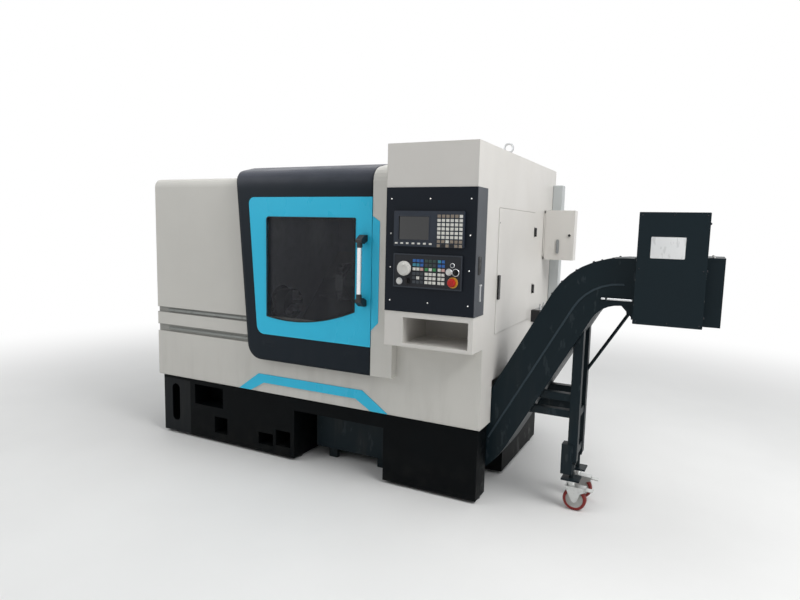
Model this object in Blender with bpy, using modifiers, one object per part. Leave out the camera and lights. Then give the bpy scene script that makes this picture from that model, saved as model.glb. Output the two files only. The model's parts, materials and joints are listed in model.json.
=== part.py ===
"""CNC turning lathe with a sliding door, a control cabinet and a wheeled chip conveyor.

Metres, +Z up. Sizes are given in the machine's own frame: X runs right from the left end,
Y runs back from the front skirt, Z runs up from the floor. Every piece hangs on one empty,
floor_datum, which puts the middle of the machine's footprint at the world origin.
"""

from math import cos, pi, radians, sin, sqrt, tan

import bmesh
import bpy
from mathutils import Matrix, Vector

# General fits and sheet thicknesses
GAP = 0.0003
RUNNING_GAP = 0.002
SHEET = 0.003
PLATE = 0.006
SEGMENTS = 24
FINE_SEGMENTS = 32

# Enclosure, measured from its front left corner
LEFT_COVER_WIDTH = 0.93
DOOR_WIDTH = 0.883
PILLAR_WIDTH = 0.139
CABINET_WIDTH = 0.503
CABINET_DEPTH = 1.50
ENCLOSURE_DEPTH = CABINET_DEPTH - 0.15
DOOR_LEFT_BOTTOM = LEFT_COVER_WIDTH - 0.057
DOOR_LEFT_TOP = DOOR_LEFT_BOTTOM - 0.095
DOOR_RIGHT = DOOR_LEFT_BOTTOM + DOOR_WIDTH
PILLAR_RIGHT = DOOR_RIGHT + PILLAR_WIDTH
MACHINE_WIDTH = PILLAR_RIGHT + CABINET_WIDTH
COVER_TOP = 1.794
COVER_EDGE_RADIUS = 0.055
SKIRT_BOTTOM = 0.43
SKIRT_EDGE_RADIUS = 0.014
SKIRT_TOP = 0.745
SKIRT_THICKNESS = 0.012
GROOVE_LOW = (0.745, 0.793)
GROOVE_HIGH = (0.880, 0.915)
GROOVE_DEPTH = 0.014

# Sliding door and its hood
DOOR_PROUD = 0.055
DOOR_BOTTOM = 0.662
DOOR_CORNER_RADIUS = 0.10
HOOD_TOP = 1.862
HOOD_BACK = 0.42
HOOD_SHOULDER = 1.818
HOOD_SLOPE_END = 0.125
HOOD_RADIUS = 0.085
DOOR_SHELL = 0.012
PANEL_LEFT_TOP = DOOR_LEFT_TOP + 0.102
PANEL_LEFT_BOTTOM = DOOR_LEFT_BOTTOM + 0.072
PANEL_TOP = 1.666
PANEL_BOTTOM = 0.826
PANEL_CORNER_RADIUS = 0.055
PANEL_THICKNESS = 0.004
WINDOW_LEFT = PANEL_LEFT_TOP + 0.142
WINDOW_RIGHT = DOOR_RIGHT - 0.107
WINDOW_TOP = 1.547
WINDOW_BOTTOM_LEFT = 0.944
WINDOW_BOTTOM_RIGHT = 1.020
WINDOW_SAG = 0.048
WINDOW_THICKNESS = 0.008
WINDOW_LAP = 0.012

# Door handle
HANDLE_X = DOOR_RIGHT - 0.047
HANDLE_LOW = 1.090
HANDLE_HIGH = 1.425
HANDLE_STANDOFF = 0.050
HANDLE_RADIUS = 0.014
HANDLE_FOOT_RISE = 0.020
HANDLE_FOOT_SHIFT = 0.016
HANDLE_END_LENGTH = 0.030

# Pillar between the door and the cabinet
PILLAR_STRIPE = ((0.0, 1.562), (0.046, 1.532), (0.046, 0.969), (0.0, 0.921))
STRIPE_THICKNESS = 0.002

# Arch stripe on the front skirt, as half-width steps about its middle
ARCH_OUTER = (
    (DOOR_LEFT_BOTTOM - 0.129, 0.0),
    (DOOR_LEFT_BOTTOM + 0.032, 0.122),
    (DOOR_RIGHT - 0.080, 0.122),
    (DOOR_RIGHT + 0.090, 0.0),
)
ARCH_INNER = (
    (DOOR_LEFT_BOTTOM - 0.031, 0.0),
    (DOOR_LEFT_BOTTOM + 0.075, 0.066),
    (DOOR_RIGHT - 0.124, 0.066),
    (DOOR_RIGHT - 0.020, 0.0),
)
ARCH_FOOT = 0.006
ARCH_THICKNESS = 0.004

# Control cabinet
CABINET_FRONT = -0.15
CABINET_TOP = 1.932
SHELF_BOX_BOTTOM = 0.874
SHELF_OPENING = ((PILLAR_RIGHT + 0.109, 0.893), (MACHINE_WIDTH - 0.026, 1.032))
SHELF_DEPTH = 0.30
BAY_LEFT = MACHINE_WIDTH - 0.378
BAY_BOTTOM = 0.70
BAY_TOP = 1.63
FASCIA_LOW = 1.062
FASCIA_HIGH = 1.7075
FASCIA_RETURN = 0.139
FASCIA_THICKNESS = 0.003

# Electrical door on the right side
SIDE_DOOR_FRONT = CABINET_FRONT + 0.348
SIDE_DOOR_BACK = CABINET_DEPTH - 0.552
SIDE_DOOR_BOTTOM = 0.93
SIDE_DOOR_TOP = 1.619
BAY_FRONT = SIDE_DOOR_FRONT - 0.008
BAY_BACK = SIDE_DOOR_BACK + 0.013
SIDE_DOOR_THICKNESS = 0.014
SIDE_DOOR_PROUD = 0.003
SIDE_DOOR_CLEARANCE = 0.002
PLATE_INSET = 0.04
PLATE_EDGE = 0.01
DRIVE_SIZE = (0.10, 0.30, 0.15)
DRIVE_DROP = 0.06
DRIVE_MARGIN = 0.10
WIRE_DUCT = (0.05, 0.03)
CONTACTOR_ROW = (0.14, 0.09, 0.10)
HINGE_HEIGHTS = (1.13, 1.50)
HINGE_LENGTH = 0.042
HINGE_RADIUS = 0.0075
HINGE_BEARING = 0.014
HINGE_LEAF = 0.010
LATCH_Y = SIDE_DOOR_FRONT + 0.0175
LATCH_HEIGHT = 1.188
LATCH_SIZE = (0.030, 0.135)
LATCH_THICKNESS = 0.010

# Display unit and operator panel
CNC_LEFT = PILLAR_RIGHT + 0.055
CNC_RIGHT = MACHINE_WIDTH - 0.059
CNC_LOW = 1.406
CNC_HIGH = 1.5875
CNC_THICKNESS = 0.016
SCREEN = ((CNC_LEFT + 0.028, 1.440), (CNC_LEFT + 0.200, 1.560))
KEY_FIELD = ((CNC_RIGHT - 0.134, 1.415), (CNC_RIGHT - 0.016, 1.562))
KEY_SIZE = (0.016, 0.014)
KEY_RISE = 0.0015
SOFT_KEY_SIZE = (0.014, 0.008)
SOFT_KEY_DROP = 0.018
SCREEN_SINK = 0.004
OPERATOR_LEFT = CNC_LEFT - 0.001
OPERATOR_RIGHT = CNC_RIGHT - 0.005
OPERATOR_LOW = 1.192
OPERATOR_HIGH = 1.368
OPERATOR_THICKNESS = 0.010
OPERATOR_SINK = 0.002
OPERATOR_RIM = 0.007
PANEL_KEY_COLUMNS = (
    (OPERATOR_LEFT + 0.121, OPERATOR_LEFT + 0.164, 3),
    (OPERATOR_LEFT + 0.190, OPERATOR_LEFT + 0.234, 3),
    (OPERATOR_LEFT + 0.262, OPERATOR_LEFT + 0.283, 2),
)
PANEL_KEY_ROWS = ((1.334, 1.291, 3), (1.267, 1.224, 3))
HANDWHEEL_PLACE = (OPERATOR_LEFT + 0.067, 1.292)
HANDWHEEL_RADIUS = 0.038
HANDWHEEL_HEIGHT = 0.026
START_PLACE = (OPERATOR_LEFT + 0.036, 1.224)
OVERRIDE_PLACE = (OPERATOR_LEFT + 0.085, 1.227)
STOP_PLACE = (OPERATOR_RIGHT - 0.070, 1.284)
SELECTOR_PLACE = (OPERATOR_RIGHT - 0.034, 1.283)
ESTOP_PLACE = (OPERATOR_RIGHT - 0.048, 1.232)
KEY_LOCK_PLACE = (OPERATOR_RIGHT - 0.052, 1.318)
KEY_LOCK_RADIUS = 0.0085
KEY_LOCK_RISE = 0.006
BUTTON_RADIUS = 0.013
BUTTON_TRAVEL = 0.004
BEZEL_WIDTH = 0.004
BEZEL_RISE = 0.003
SEAT_CLEARANCE = 0.0005
KNOB_RADIUS = 0.014
KNOB_HEIGHT = 0.020
ESTOP_RADIUS = 0.022
ESTOP_HEIGHT = 0.030
ESTOP_STEM = 0.011
ESTOP_COLLAR = 0.0275
COLLAR_RISE = 0.004
ESTOP_TRAVEL = 0.006

# Base frame, its openings and its levelling feet
BASE_FRONT = 0.04
BASE_BACK = ENCLOSURE_DEPTH - 0.05
BASE_LEFT = 0.002
BASE_RIGHT = MACHINE_WIDTH - 0.018
BASE_TOP = SKIRT_BOTTOM - GAP
SKIRT_FOLD = 0.06
SKIRT_NOTCH = SKIRT_BOTTOM + SHEET + SKIRT_EDGE_RADIUS - SKIRT_THICKNESS + GAP
BASE_BOTTOM = 0.018
END_PANEL_RIGHT = 0.256
END_PANEL_SLOT = ((0.081, 0.098), (0.153, 0.365))
END_PANEL_TOP = 0.40
LEFT_BLOCK_RIGHT = LEFT_COVER_WIDTH + 0.225
TUNNEL_RIGHT = PILLAR_RIGHT - 0.095
TUNNEL_TOP = 0.335
BASE_POCKETS = (
    ((0.300, 0.248), (0.557, 0.387)),
    ((0.480, 0.070), (0.595, 0.185)),
    ((LEFT_BLOCK_RIGHT - 0.290, 0.065), (LEFT_BLOCK_RIGHT - 0.170, 0.145)),
    ((LEFT_BLOCK_RIGHT - 0.147, 0.080), (LEFT_BLOCK_RIGHT - 0.030, 0.183)),
)
POCKET_DEPTH = 0.16
FOOT_RADIUS = 0.055
FOOT_PAD = 0.014
FOOT_STEM_RADIUS = 0.016
FOOT_XS = (0.32, LEFT_BLOCK_RIGHT - 0.065, TUNNEL_RIGHT + 0.08, BASE_RIGHT - 0.06)
FOOT_INSET = 0.09

# Bed, headstock and work area
BED_LEFT = 0.10
BED_RIGHT = PILLAR_RIGHT - 0.035
BED_BACK = ENCLOSURE_DEPTH - 0.25
WAY_SPACING = 0.26
WAY_WIDTH = 0.05
WAY_HEIGHT = 0.028
SPINDLE_Y = 0.42
SPINDLE_Z = 0.957
HEADSTOCK_LEFT = 0.14
HEADSTOCK_RIGHT = LEFT_COVER_WIDTH - 0.27
HEADSTOCK_HALF = 0.150
SPINDLE_RADIUS = 0.062
SPINDLE_NOSE = 0.084
SPINDLE_TAIL = 0.10
CHUCK_RADIUS = 0.105
CHUCK_LENGTH = 0.095
CHUCK_BACK = LEFT_COVER_WIDTH - 0.16
CHUCK_BORE = 0.026
JAW_WIDTH = 0.036
JAW_INNER = 0.030
JAW_OUTER = 0.092
JAW_STEP = 0.062
JAW_HEIGHT = 0.052
JAW_STROKE = 0.004
LINER_LEFT = LEFT_COVER_WIDTH - 0.175
LINER_RIGHT = PILLAR_RIGHT - 0.065
LINER_FRONT = GROOVE_DEPTH + SHEET + GAP
LINER_SHEET = 0.004
LINER_TOP = 1.74
LINER_HOLE = 0.125
SLANT = radians(45)
CARRIAGE_X = LEFT_COVER_WIDTH + 0.43
CARRIAGE_LENGTH = 0.34
CARRIAGE_THICKNESS = 0.075
CARRIAGE_HALF = 0.185
CROSS_WIDTH = 0.24
CROSS_THICKNESS = 0.065
CROSS_HALF = 0.13
TURRET_RADIUS = 0.125
TURRET_FLATS = 8
TURRET_THICKNESS = 0.060
TURRET_BODY = 0.20
TOOL_SIZE = 0.020
MOTOR_RADIUS = 0.125
MOTOR_LENGTH = 0.34

# Coolant tank and pump
TANK_LEFT = LEFT_BLOCK_RIGHT + 0.035
TANK_RIGHT = TUNNEL_RIGHT - 0.04
TANK_FRONT = 0.56
TANK_BACK = ENCLOSURE_DEPTH + 0.14
TANK_HEIGHT = 0.24
TANK_WALL = 0.003
TANK_LIFT = 0.012
PUMP_RADIUS = 0.055
PIPE_RADIUS = 0.010
PIPE_HEIGHT = 0.454

# Door rails
RAIL_LEFT = 0.10
RAIL_WIDTH = 0.020
RAIL_HEIGHT = 0.012

# White box on the right side and the fluid manifold
SIDE_BOX_FRONT = CABINET_DEPTH - 0.315
SIDE_BOX_BACK = SIDE_BOX_FRONT + 0.085
SIDE_BOX_RIGHT = MACHINE_WIDTH + 0.210
SIDE_BOX_LOW = 1.309
SIDE_BOX_HIGH = 1.644
SIDE_BOX_SHEET = 0.003
SIDE_BOX_LID = 0.012
SIDE_BOX_PIN = 0.005
LOCK_PLACE = (MACHINE_WIDTH + 0.180, 1.477)
SIDE_BOX_SLOT = ((MACHINE_WIDTH + 0.096, 1.355), (MACHINE_WIDTH + 0.112, 1.445))
DUCT_FRONT = CABINET_DEPTH - 0.08
DUCT_RIGHT = MACHINE_WIDTH + 0.070
DUCT_LOW = 0.46
DUCT_TOP = 1.83
MANIFOLD_FRONT = CABINET_DEPTH - 0.50
MANIFOLD_BACK = CABINET_DEPTH - 0.16
MANIFOLD_RIGHT = MACHINE_WIDTH + 0.054
MANIFOLD_LOW = 0.905
MANIFOLD_HIGH = 0.975
FITTING_RADIUS = 0.009
FITTING_HEIGHT = 0.034
EYE_BOLT_RING = 0.025
EYE_BOLT_WIRE = 0.0065
EYE_BOLT_Y = CABINET_DEPTH - 1.04
EYE_BOLT_INSET = 0.045

# Chip conveyor
CONVEYOR_FRONT = 0.20
CONVEYOR_BACK = 0.50
CONVEYOR_DEPTH = 0.238
CONVEYOR_ANGLE = radians(61)
CONVEYOR_TOP = 1.376
CONVEYOR_BEND_X = MACHINE_WIDTH + 0.642
CONVEYOR_BEND_RADIUS = 0.269
CONVEYOR_FOOT_RADIUS = 0.30
CONVEYOR_FLOOR = 0.071
CONVEYOR_TAIL = LEFT_BLOCK_RIGHT + 0.065
CONVEYOR_END = CONVEYOR_BEND_X + 0.072
FLANGE_RISE = 0.018
FLANGE_WIDTH = 0.014
CONVEYOR_CLEARANCE = 0.012
SKID_XS = (CONVEYOR_TAIL + 0.08, TUNNEL_RIGHT - 0.14)
SKID_SIZE = (0.060, 0.030)
HEAD_RIGHT = CONVEYOR_END + 0.378
HEAD_LOW = 1.067
HEAD_HIGH = 1.390
HEAD_WALL = 0.004
LID_PROUD = 0.0005
LID_LAP = 0.006
MOUTH_LEFT = CONVEYOR_END + 0.088
GUARD_LEFT = CONVEYOR_END + 0.001
GUARD_RIGHT = HEAD_RIGHT - 0.075
GUARD_LOW = 1.067
GUARD_HIGH = 1.600
GUARD_FRONT = 0.10
GEAR_MOTOR_X = HEAD_RIGHT - 0.190
GEAR_MOTOR_Z = 1.24
TENSION_Z = 1.169
TENSION_LEFT = CONVEYOR_END - 0.161
TENSION_ROD = 0.006

# Conveyor stand and its casters
LEG_SIZE = 0.050
LEG_X = CONVEYOR_BEND_X - 0.195
LEG_FRONT_Y = 0.262
LEG_BACK_Y = 0.438
LEG_TOP = 1.050
BAR_SIZE = 0.040
BAR_HEIGHTS = (0.620, 0.530)
STRUT_RADIUS = 0.010
CASTER_PLATE = 0.008
WHEEL_RADIUS = 0.0625
WHEEL_WIDTH = 0.032
CASTER_TRAIL = 0.024
FORK_REACH = 0.080
FORK_SHEET = 0.004
FORK_HALF = 0.021

CRANK_RISE = 0.012
CRANK_RADIUS = 0.006

# Places that follow from the sizes above
BED_DISTANCE = 0.30
BED_TOE = 0.02
BED_SHELF = 0.12
BED_WALL = 0.10
POCKET_WIDTH = 0.28
POCKET_MARGIN = 0.21
WAY_LEFT = LINER_LEFT + 0.03
CARRIAGE_ALONG = 0.20
TURRET_ALONG = 0.235
TOOL_STICK_OUT = 0.045
LINER_LOW = 0.56
CONVEYOR_RISE_START = CONVEYOR_BEND_X - 0.926
SEAM_WIDTH = 0.010
SEAM_RISE = 0.003
SEAM_SHIFT = -0.012
SEAM_STOP = 0.055
LEG_BOTTOM = 0.270
POST_BOTTOM = 0.178
POST_RADIUS = 0.012
FOOT_PLATE = 0.096
STRUT_TOP = (CONVEYOR_BEND_X + 0.030, 1.085)
STRUT_FOOT_HEIGHT = 0.79
LEG_SLEEVE = ((-0.055, 0.200), (0.006, 0.365))
GUSSET = ((0.008, 0.0), (0.064, -0.062), (0.064, -0.078))


def clear_scene():
    for obj in list(bpy.data.objects):
        bpy.data.objects.remove(obj, do_unlink=True)
    for group in list(bpy.data.collections):
        bpy.data.collections.remove(group)


def new_collection(name, hidden=False):
    group = bpy.data.collections.new(name)
    bpy.context.scene.collection.children.link(group)
    group.hide_render = hidden
    return group


clear_scene()
PARTS = new_collection("cnc_turning_lathe")
CUTTERS = new_collection("cutters", hidden=True)

DATUM = bpy.data.objects.new("floor_datum", None)
PARTS.objects.link(DATUM)

FINISHES = {
    "beige_paint": ((0.47, 0.46, 0.42), 0.45, 0.0),
    "light_paint": ((0.66, 0.64, 0.60), 0.45, 0.0),
    "charcoal_paint": ((0.022, 0.027, 0.035), 0.40, 0.0),
    "cyan_paint": ((0.045, 0.40, 0.62), 0.40, 0.0),
    "fascia_black": ((0.012, 0.014, 0.020), 0.50, 0.0),
    "conveyor_paint": ((0.014, 0.026, 0.034), 0.38, 0.0),
    "base_black": ((0.010, 0.011, 0.012), 0.55, 0.0),
    "grey_paint": ((0.20, 0.21, 0.21), 0.50, 0.0),
    "cast_iron": ((0.11, 0.115, 0.12), 0.55, 0.6),
    "steel": ((0.55, 0.56, 0.58), 0.28, 1.0),
    "blackened_steel": ((0.03, 0.03, 0.035), 0.35, 0.8),
    "smoked_glass": ((0.03, 0.035, 0.04), 0.08, 0.0),
    "black_plastic": ((0.012, 0.012, 0.013), 0.45, 0.0),
    "white_plastic": ((0.70, 0.71, 0.70), 0.40, 0.0),
    "red_plastic": ((0.55, 0.02, 0.02), 0.40, 0.0),
    "red_rubber": ((0.30, 0.035, 0.03), 0.70, 0.0),
}


def finish(name):
    """A Principled material with the colour, roughness and metallic value of a finish."""
    if name in bpy.data.materials:
        return bpy.data.materials[name]
    colour, roughness, metallic = FINISHES[name]
    material = bpy.data.materials.new(name)
    material.use_nodes = True
    shader = material.node_tree.nodes["Principled BSDF"]
    shader.inputs["Base Color"].default_value = (*colour, 1.0)
    shader.inputs["Roughness"].default_value = roughness
    shader.inputs["Metallic"].default_value = metallic
    return material


def place(name, mesh, surface, origin=(0, 0, 0)):
    """Names a mesh as a piece of the machine, with its origin at a point of the machine."""
    mesh.name = name
    mesh.transform(Matrix.Translation(-Vector(origin)))
    obj = bpy.data.objects.new(name, mesh)
    obj.location = origin
    obj.parent = DATUM
    PARTS.objects.link(obj)
    mesh.materials.clear()
    mesh.materials.append(finish(surface))
    mesh.shade_smooth()
    mesh.set_sharp_from_angle(angle=radians(35))
    return obj


def cutter(name, mesh, origin=(0, 0, 0)):
    mesh.name = name
    obj = bpy.data.objects.new(name, mesh)
    obj.location = origin
    obj.parent = DATUM
    obj.hide_render = True
    obj.display_type = "WIRE"
    CUTTERS.objects.link(obj)
    return obj


def mesh_of(shape):
    mesh = bpy.data.meshes.new("shape")
    shape.normal_update()
    shape.to_mesh(mesh)
    shape.free()
    return mesh


def block(low, high):
    """A box mesh between two corners."""
    shape = bmesh.new()
    bmesh.ops.create_cube(shape, size=1.0)
    low, high = Vector(low), Vector(high)
    size = high - low
    bmesh.ops.scale(shape, vec=size, verts=shape.verts)
    bmesh.ops.translate(shape, vec=(low + high) / 2, verts=shape.verts)
    return mesh_of(shape)


TURN = {
    "X": Matrix.Rotation(pi / 2, 4, "Y"),
    "Y": Matrix.Rotation(-pi / 2, 4, "X"),
    "Z": Matrix.Identity(4),
}


def rod(start, axis, radius, length, segments=SEGMENTS, end_radius=None):
    """A cylinder or cone mesh from a point along +X, +Y or +Z."""
    shape = bmesh.new()
    bmesh.ops.create_cone(
        shape,
        cap_ends=True,
        segments=segments,
        radius1=radius,
        radius2=radius if end_radius is None else end_radius,
        depth=length,
    )
    bmesh.ops.translate(shape, vec=(0, 0, length / 2), verts=shape.verts)
    shape.transform(Matrix.Translation(Vector(start)) @ TURN[axis])
    return mesh_of(shape)


def rounded(corners, radii, step=radians(15)):
    """The outline through these corners, with an arc of the given radius at each."""
    points = []
    count = len(corners)
    for index, corner in enumerate(corners):
        radius = radii[index] if isinstance(radii, (list, tuple)) else radii
        here = Vector(corner)
        before = (Vector(corners[index - 1]) - here).normalized()
        after = (Vector(corners[(index + 1) % count]) - here).normalized()
        inside = before.angle(after)
        if radius <= 0 or inside > pi - 0.01:
            points.append(tuple(here))
            continue
        reach = radius / tan(inside / 2)
        middle = here + (before + after).normalized() * (radius / sin(inside / 2))
        start = here + before * reach - middle
        turn = pi - inside
        cross = before.x * after.y - before.y * after.x
        direction = -1 if cross > 0 else 1
        steps = max(2, round(turn / step))
        for number in range(steps + 1):
            angle = direction * turn * number / steps
            swing = Matrix.Rotation(angle, 2)
            points.append(tuple(middle + swing @ start))
    return points


def rectangle(low, high, radius=0.0):
    corners = [(low[0], low[1]), (high[0], low[1]), (high[0], high[1]), (low[0], high[1])]
    return rounded(corners, radius) if radius else corners


PLANES = {
    "XZ": (Matrix(((1, 0, 0, 0), (0, 0, -1, 0), (0, 1, 0, 0), (0, 0, 0, 1))), -1),
    "YZ": (Matrix(((0, 0, 1, 0), (1, 0, 0, 0), (0, 1, 0, 0), (0, 0, 0, 1))), 1),
    "XY": (Matrix.Identity(4), 1),
}


def extruded(plane, low, high, outline, *holes):
    """A flat outline, with its holes, drawn in a plane and made solid from low to high."""
    curve = bpy.data.curves.new("outline", "CURVE")
    curve.dimensions = "2D"
    curve.fill_mode = "BOTH"
    curve.extrude = (high - low) / 2
    for points in (outline, *holes):
        spline = curve.splines.new("POLY")
        spline.points.add(len(points) - 1)
        for point, (across, up) in zip(spline.points, points):
            point.co = (across, up, 0, 1)
        spline.use_cyclic_u = True
    guide = bpy.data.objects.new("outline", curve)
    bpy.context.scene.collection.objects.link(guide)
    graph = bpy.context.evaluated_depsgraph_get()
    mesh = bpy.data.meshes.new_from_object(guide.evaluated_get(graph))
    bpy.data.objects.remove(guide)
    frame, sign = PLANES[plane]
    shape = bmesh.new()
    shape.from_mesh(mesh)
    bpy.data.meshes.remove(mesh)
    bmesh.ops.remove_doubles(shape, verts=shape.verts, dist=0.000001)
    bmesh.ops.translate(shape, vec=(0, 0, sign * (low + high) / 2), verts=shape.verts)
    shape.transform(frame)
    bmesh.ops.recalc_face_normals(shape, faces=shape.faces)
    return mesh_of(shape)


def turned(profile, start, axis, segments=SEGMENTS):
    """A turned mesh. The profile holds (radius, height) from top to bottom of its outer side."""
    mesh = bpy.data.meshes.new("profile")
    points = [(radius, 0, height) for radius, height in profile]
    edges = [(index, index + 1) for index in range(len(points) - 1)]
    mesh.from_pydata(points, edges, [])
    guide = bpy.data.objects.new("profile", mesh)
    bpy.context.scene.collection.objects.link(guide)
    screw = guide.modifiers.new("turn", "SCREW")
    screw.steps = segments
    screw.render_steps = segments
    screw.use_merge_vertices = True
    screw.merge_threshold = 0.00001
    graph = bpy.context.evaluated_depsgraph_get()
    solid = bpy.data.meshes.new_from_object(guide.evaluated_get(graph))
    bpy.data.objects.remove(guide)
    shape = bmesh.new()
    shape.from_mesh(solid)
    bpy.data.meshes.remove(solid)
    bmesh.ops.remove_doubles(shape, verts=shape.verts, dist=0.00001)
    bmesh.ops.recalc_face_normals(shape, faces=shape.faces)
    shape.transform(Matrix.Translation(Vector(start)) @ TURN[axis])
    return mesh_of(shape)


def moved(mesh, matrix):
    mesh.transform(matrix)
    return mesh


def cut(obj, *meshes):
    for index, mesh in enumerate(meshes):
        tool = cutter(f"{obj.name}_cut_{len(obj.modifiers)}", mesh)
        change = obj.modifiers.new(f"cut_{index}", "BOOLEAN")
        change.operation = "DIFFERENCE"
        change.object = tool
    return obj


def join(obj, *meshes):
    for index, mesh in enumerate(meshes):
        tool = cutter(f"{obj.name}_join_{len(obj.modifiers)}", mesh)
        change = obj.modifiers.new(f"join_{index}", "BOOLEAN")
        change.operation = "UNION"
        change.object = tool
    return obj


def ease(obj, width, segments=2, angle=radians(40)):
    """Rounds the edges of a piece that are sharper than an angle."""
    bevel = obj.modifiers.new("eased_edges", "BEVEL")
    bevel.width = width
    bevel.segments = segments
    bevel.limit_method = "ANGLE"
    bevel.angle_limit = angle
    return obj


def hood_line(inset=0.0):
    """The side line shared by the door, its hood and the pillar, as (Y, Z) from the floor edge."""
    corners = [
        (-DOOR_PROUD + inset, DOOR_BOTTOM),
        (-DOOR_PROUD + inset, HOOD_SHOULDER - inset / 2),
        (HOOD_SLOPE_END, HOOD_TOP - inset),
        (HOOD_BACK, HOOD_TOP - inset),
    ]
    return rounded(corners, [0, HOOD_RADIUS - inset, 0.10, 0])


def door_left_edge(height):
    share = (height - DOOR_BOTTOM) / (HOOD_SHOULDER - DOOR_BOTTOM)
    return DOOR_LEFT_BOTTOM + (DOOR_LEFT_TOP - DOOR_LEFT_BOTTOM) * share


def left_cover():
    """Folded cover of the headstock end, with the two grooves that hold the door rails."""
    face = GROOVE_DEPTH
    outer = [
        (face, SKIRT_NOTCH),
        (SKIRT_FOLD + GAP, SKIRT_NOTCH),
        (SKIRT_FOLD + GAP, SKIRT_BOTTOM),
        (ENCLOSURE_DEPTH, SKIRT_BOTTOM),
        (ENCLOSURE_DEPTH, COVER_TOP),
        (0, COVER_TOP),
        (0, GROOVE_HIGH[1]),
        (face, GROOVE_HIGH[1]),
        (face, GROOVE_HIGH[0]),
        (0, GROOVE_HIGH[0]),
        (0, GROOVE_LOW[1]),
        (face, GROOVE_LOW[1]),
    ]
    radii = [0, 0, 0, 0, 0.02, COVER_EDGE_RADIUS, 0, 0, 0, 0, 0, 0]
    cover = place(
        "left_cover",
        extruded("YZ", 0, LEFT_COVER_WIDTH, rounded(outer, radii)),
        "beige_paint",
    )
    hollow_low = (face + SHEET, SKIRT_BOTTOM - PLATE)
    hollow_high = (ENCLOSURE_DEPTH - SHEET, COVER_TOP - SHEET)
    inner = rounded(
        [
            hollow_low,
            (hollow_high[0], hollow_low[1]),
            hollow_high,
            (hollow_low[0], hollow_high[1]),
        ],
        [0, 0, 0.017, COVER_EDGE_RADIUS - face],
    )
    cut(cover, extruded("YZ", SHEET, LEFT_COVER_WIDTH + PLATE, inner))
    return cover


def front_frame():
    """Fixed sill under the door with the same grooves, and the jamb behind the pillar."""
    left, right = LEFT_COVER_WIDTH + GAP, PILLAR_RIGHT - GAP
    face = GROOVE_DEPTH
    sill = [
        (face, GROOVE_LOW[0] + GAP),
        (face + SHEET, GROOVE_LOW[0] + GAP),
        (face + SHEET, GROOVE_HIGH[1] + SHEET + 0.012),
        (0, GROOVE_HIGH[1] + SHEET + 0.012),
        (0, GROOVE_HIGH[1]),
        (face, GROOVE_HIGH[1]),
        (face, GROOVE_HIGH[0]),
        (0, GROOVE_HIGH[0]),
        (0, GROOVE_LOW[1]),
        (face, GROOVE_LOW[1]),
    ]
    frame = place("front_frame", extruded("YZ", left, right, sill), "beige_paint")
    jamb_left = DOOR_RIGHT + 0.009
    join(
        frame,
        block((jamb_left, 0, GROOVE_HIGH[1] + SHEET), (right, face + SHEET, COVER_TOP - SHEET - GAP)),
    )
    return frame


def front_skirt():
    """Skirt across the whole front, folded under, with the field under the arch set back."""
    low, high, deep = SKIRT_BOTTOM, SKIRT_TOP, SKIRT_THICKNESS
    fold = SKIRT_FOLD
    side = rounded(
        [(0, low), (fold, low), (fold, low + SHEET), (deep, low + SHEET), (deep, high), (0, high)],
        [SKIRT_EDGE_RADIUS, 0, 0, SKIRT_EDGE_RADIUS - deep, 0, 0],
    )
    skirt = place("front_skirt", extruded("YZ", 0, MACHINE_WIDTH, side), "beige_paint")
    join(
        skirt,
        block((PILLAR_RIGHT + GAP, 0, high - PLATE), (MACHINE_WIDTH, deep, SHELF_BOX_BOTTOM - GAP)),
    )
    field = [(x, low - 0.01 if rise == 0 else low + rise) for x, rise in ARCH_INNER]
    cut(skirt, extruded("XZ", -0.02, deep / 2, field))
    return skirt


def skirt_stripe():
    low = SKIRT_BOTTOM + ARCH_FOOT
    outer = [(x, max(SKIRT_BOTTOM + rise, low)) for x, rise in ARCH_OUTER]
    inner = [(x, max(SKIRT_BOTTOM + rise, low)) for x, rise in reversed(ARCH_INNER)]
    place(
        "skirt_stripe",
        extruded("XZ", -GAP - ARCH_THICKNESS, -GAP, outer + inner),
        "cyan_paint",
    )


def roof_and_rear():
    """Fixed roof behind the hood, and the plain back cover."""
    left, right = LEFT_COVER_WIDTH + GAP, PILLAR_RIGHT - GAP
    back = ENCLOSURE_DEPTH
    jamb_left = DOOR_RIGHT + 0.009
    outline = [
        (left, HOOD_BACK - 0.02),
        (jamb_left, HOOD_BACK - 0.02),
        (jamb_left, 0.0),
        (right, 0.0),
        (right, back),
        (left, back),
    ]
    place(
        "roof_cover", extruded("XY", COVER_TOP - SHEET, COVER_TOP, outline), "beige_paint"
    )
    rear = place(
        "rear_cover",
        block((left, back - SHEET, BASE_TOP + GAP), (right, back, COVER_TOP - SHEET - GAP)),
        "beige_paint",
    )
    join(
        rear,
        block(
            (left, BASE_BACK - 0.05, BASE_TOP + GAP),
            (right, back - SHEET / 2, BASE_TOP + GAP + SHEET),
        ),
    )


def door_rails():
    """Two guide rails lying in the grooves of the cover and the sill."""
    right = DOOR_RIGHT - 0.012
    for name, (low, high) in (("door_rail_lower", GROOVE_LOW), ("door_rail_upper", GROOVE_HIGH)):
        middle = (low + high) / 2
        back = GROOVE_DEPTH - GAP
        half = RAIL_WIDTH / 2
        foot = half - 0.004
        side = [
            (back, middle - half),
            (back, middle + half),
            (back - 0.004, middle + half),
            (back - 0.004, middle + foot),
            (back - RAIL_HEIGHT, middle + foot),
            (back - RAIL_HEIGHT, middle - foot),
            (back - 0.004, middle - foot),
            (back - 0.004, middle - half),
        ]
        place(name, extruded("YZ", RAIL_LEFT, right, side), "steel")


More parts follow.
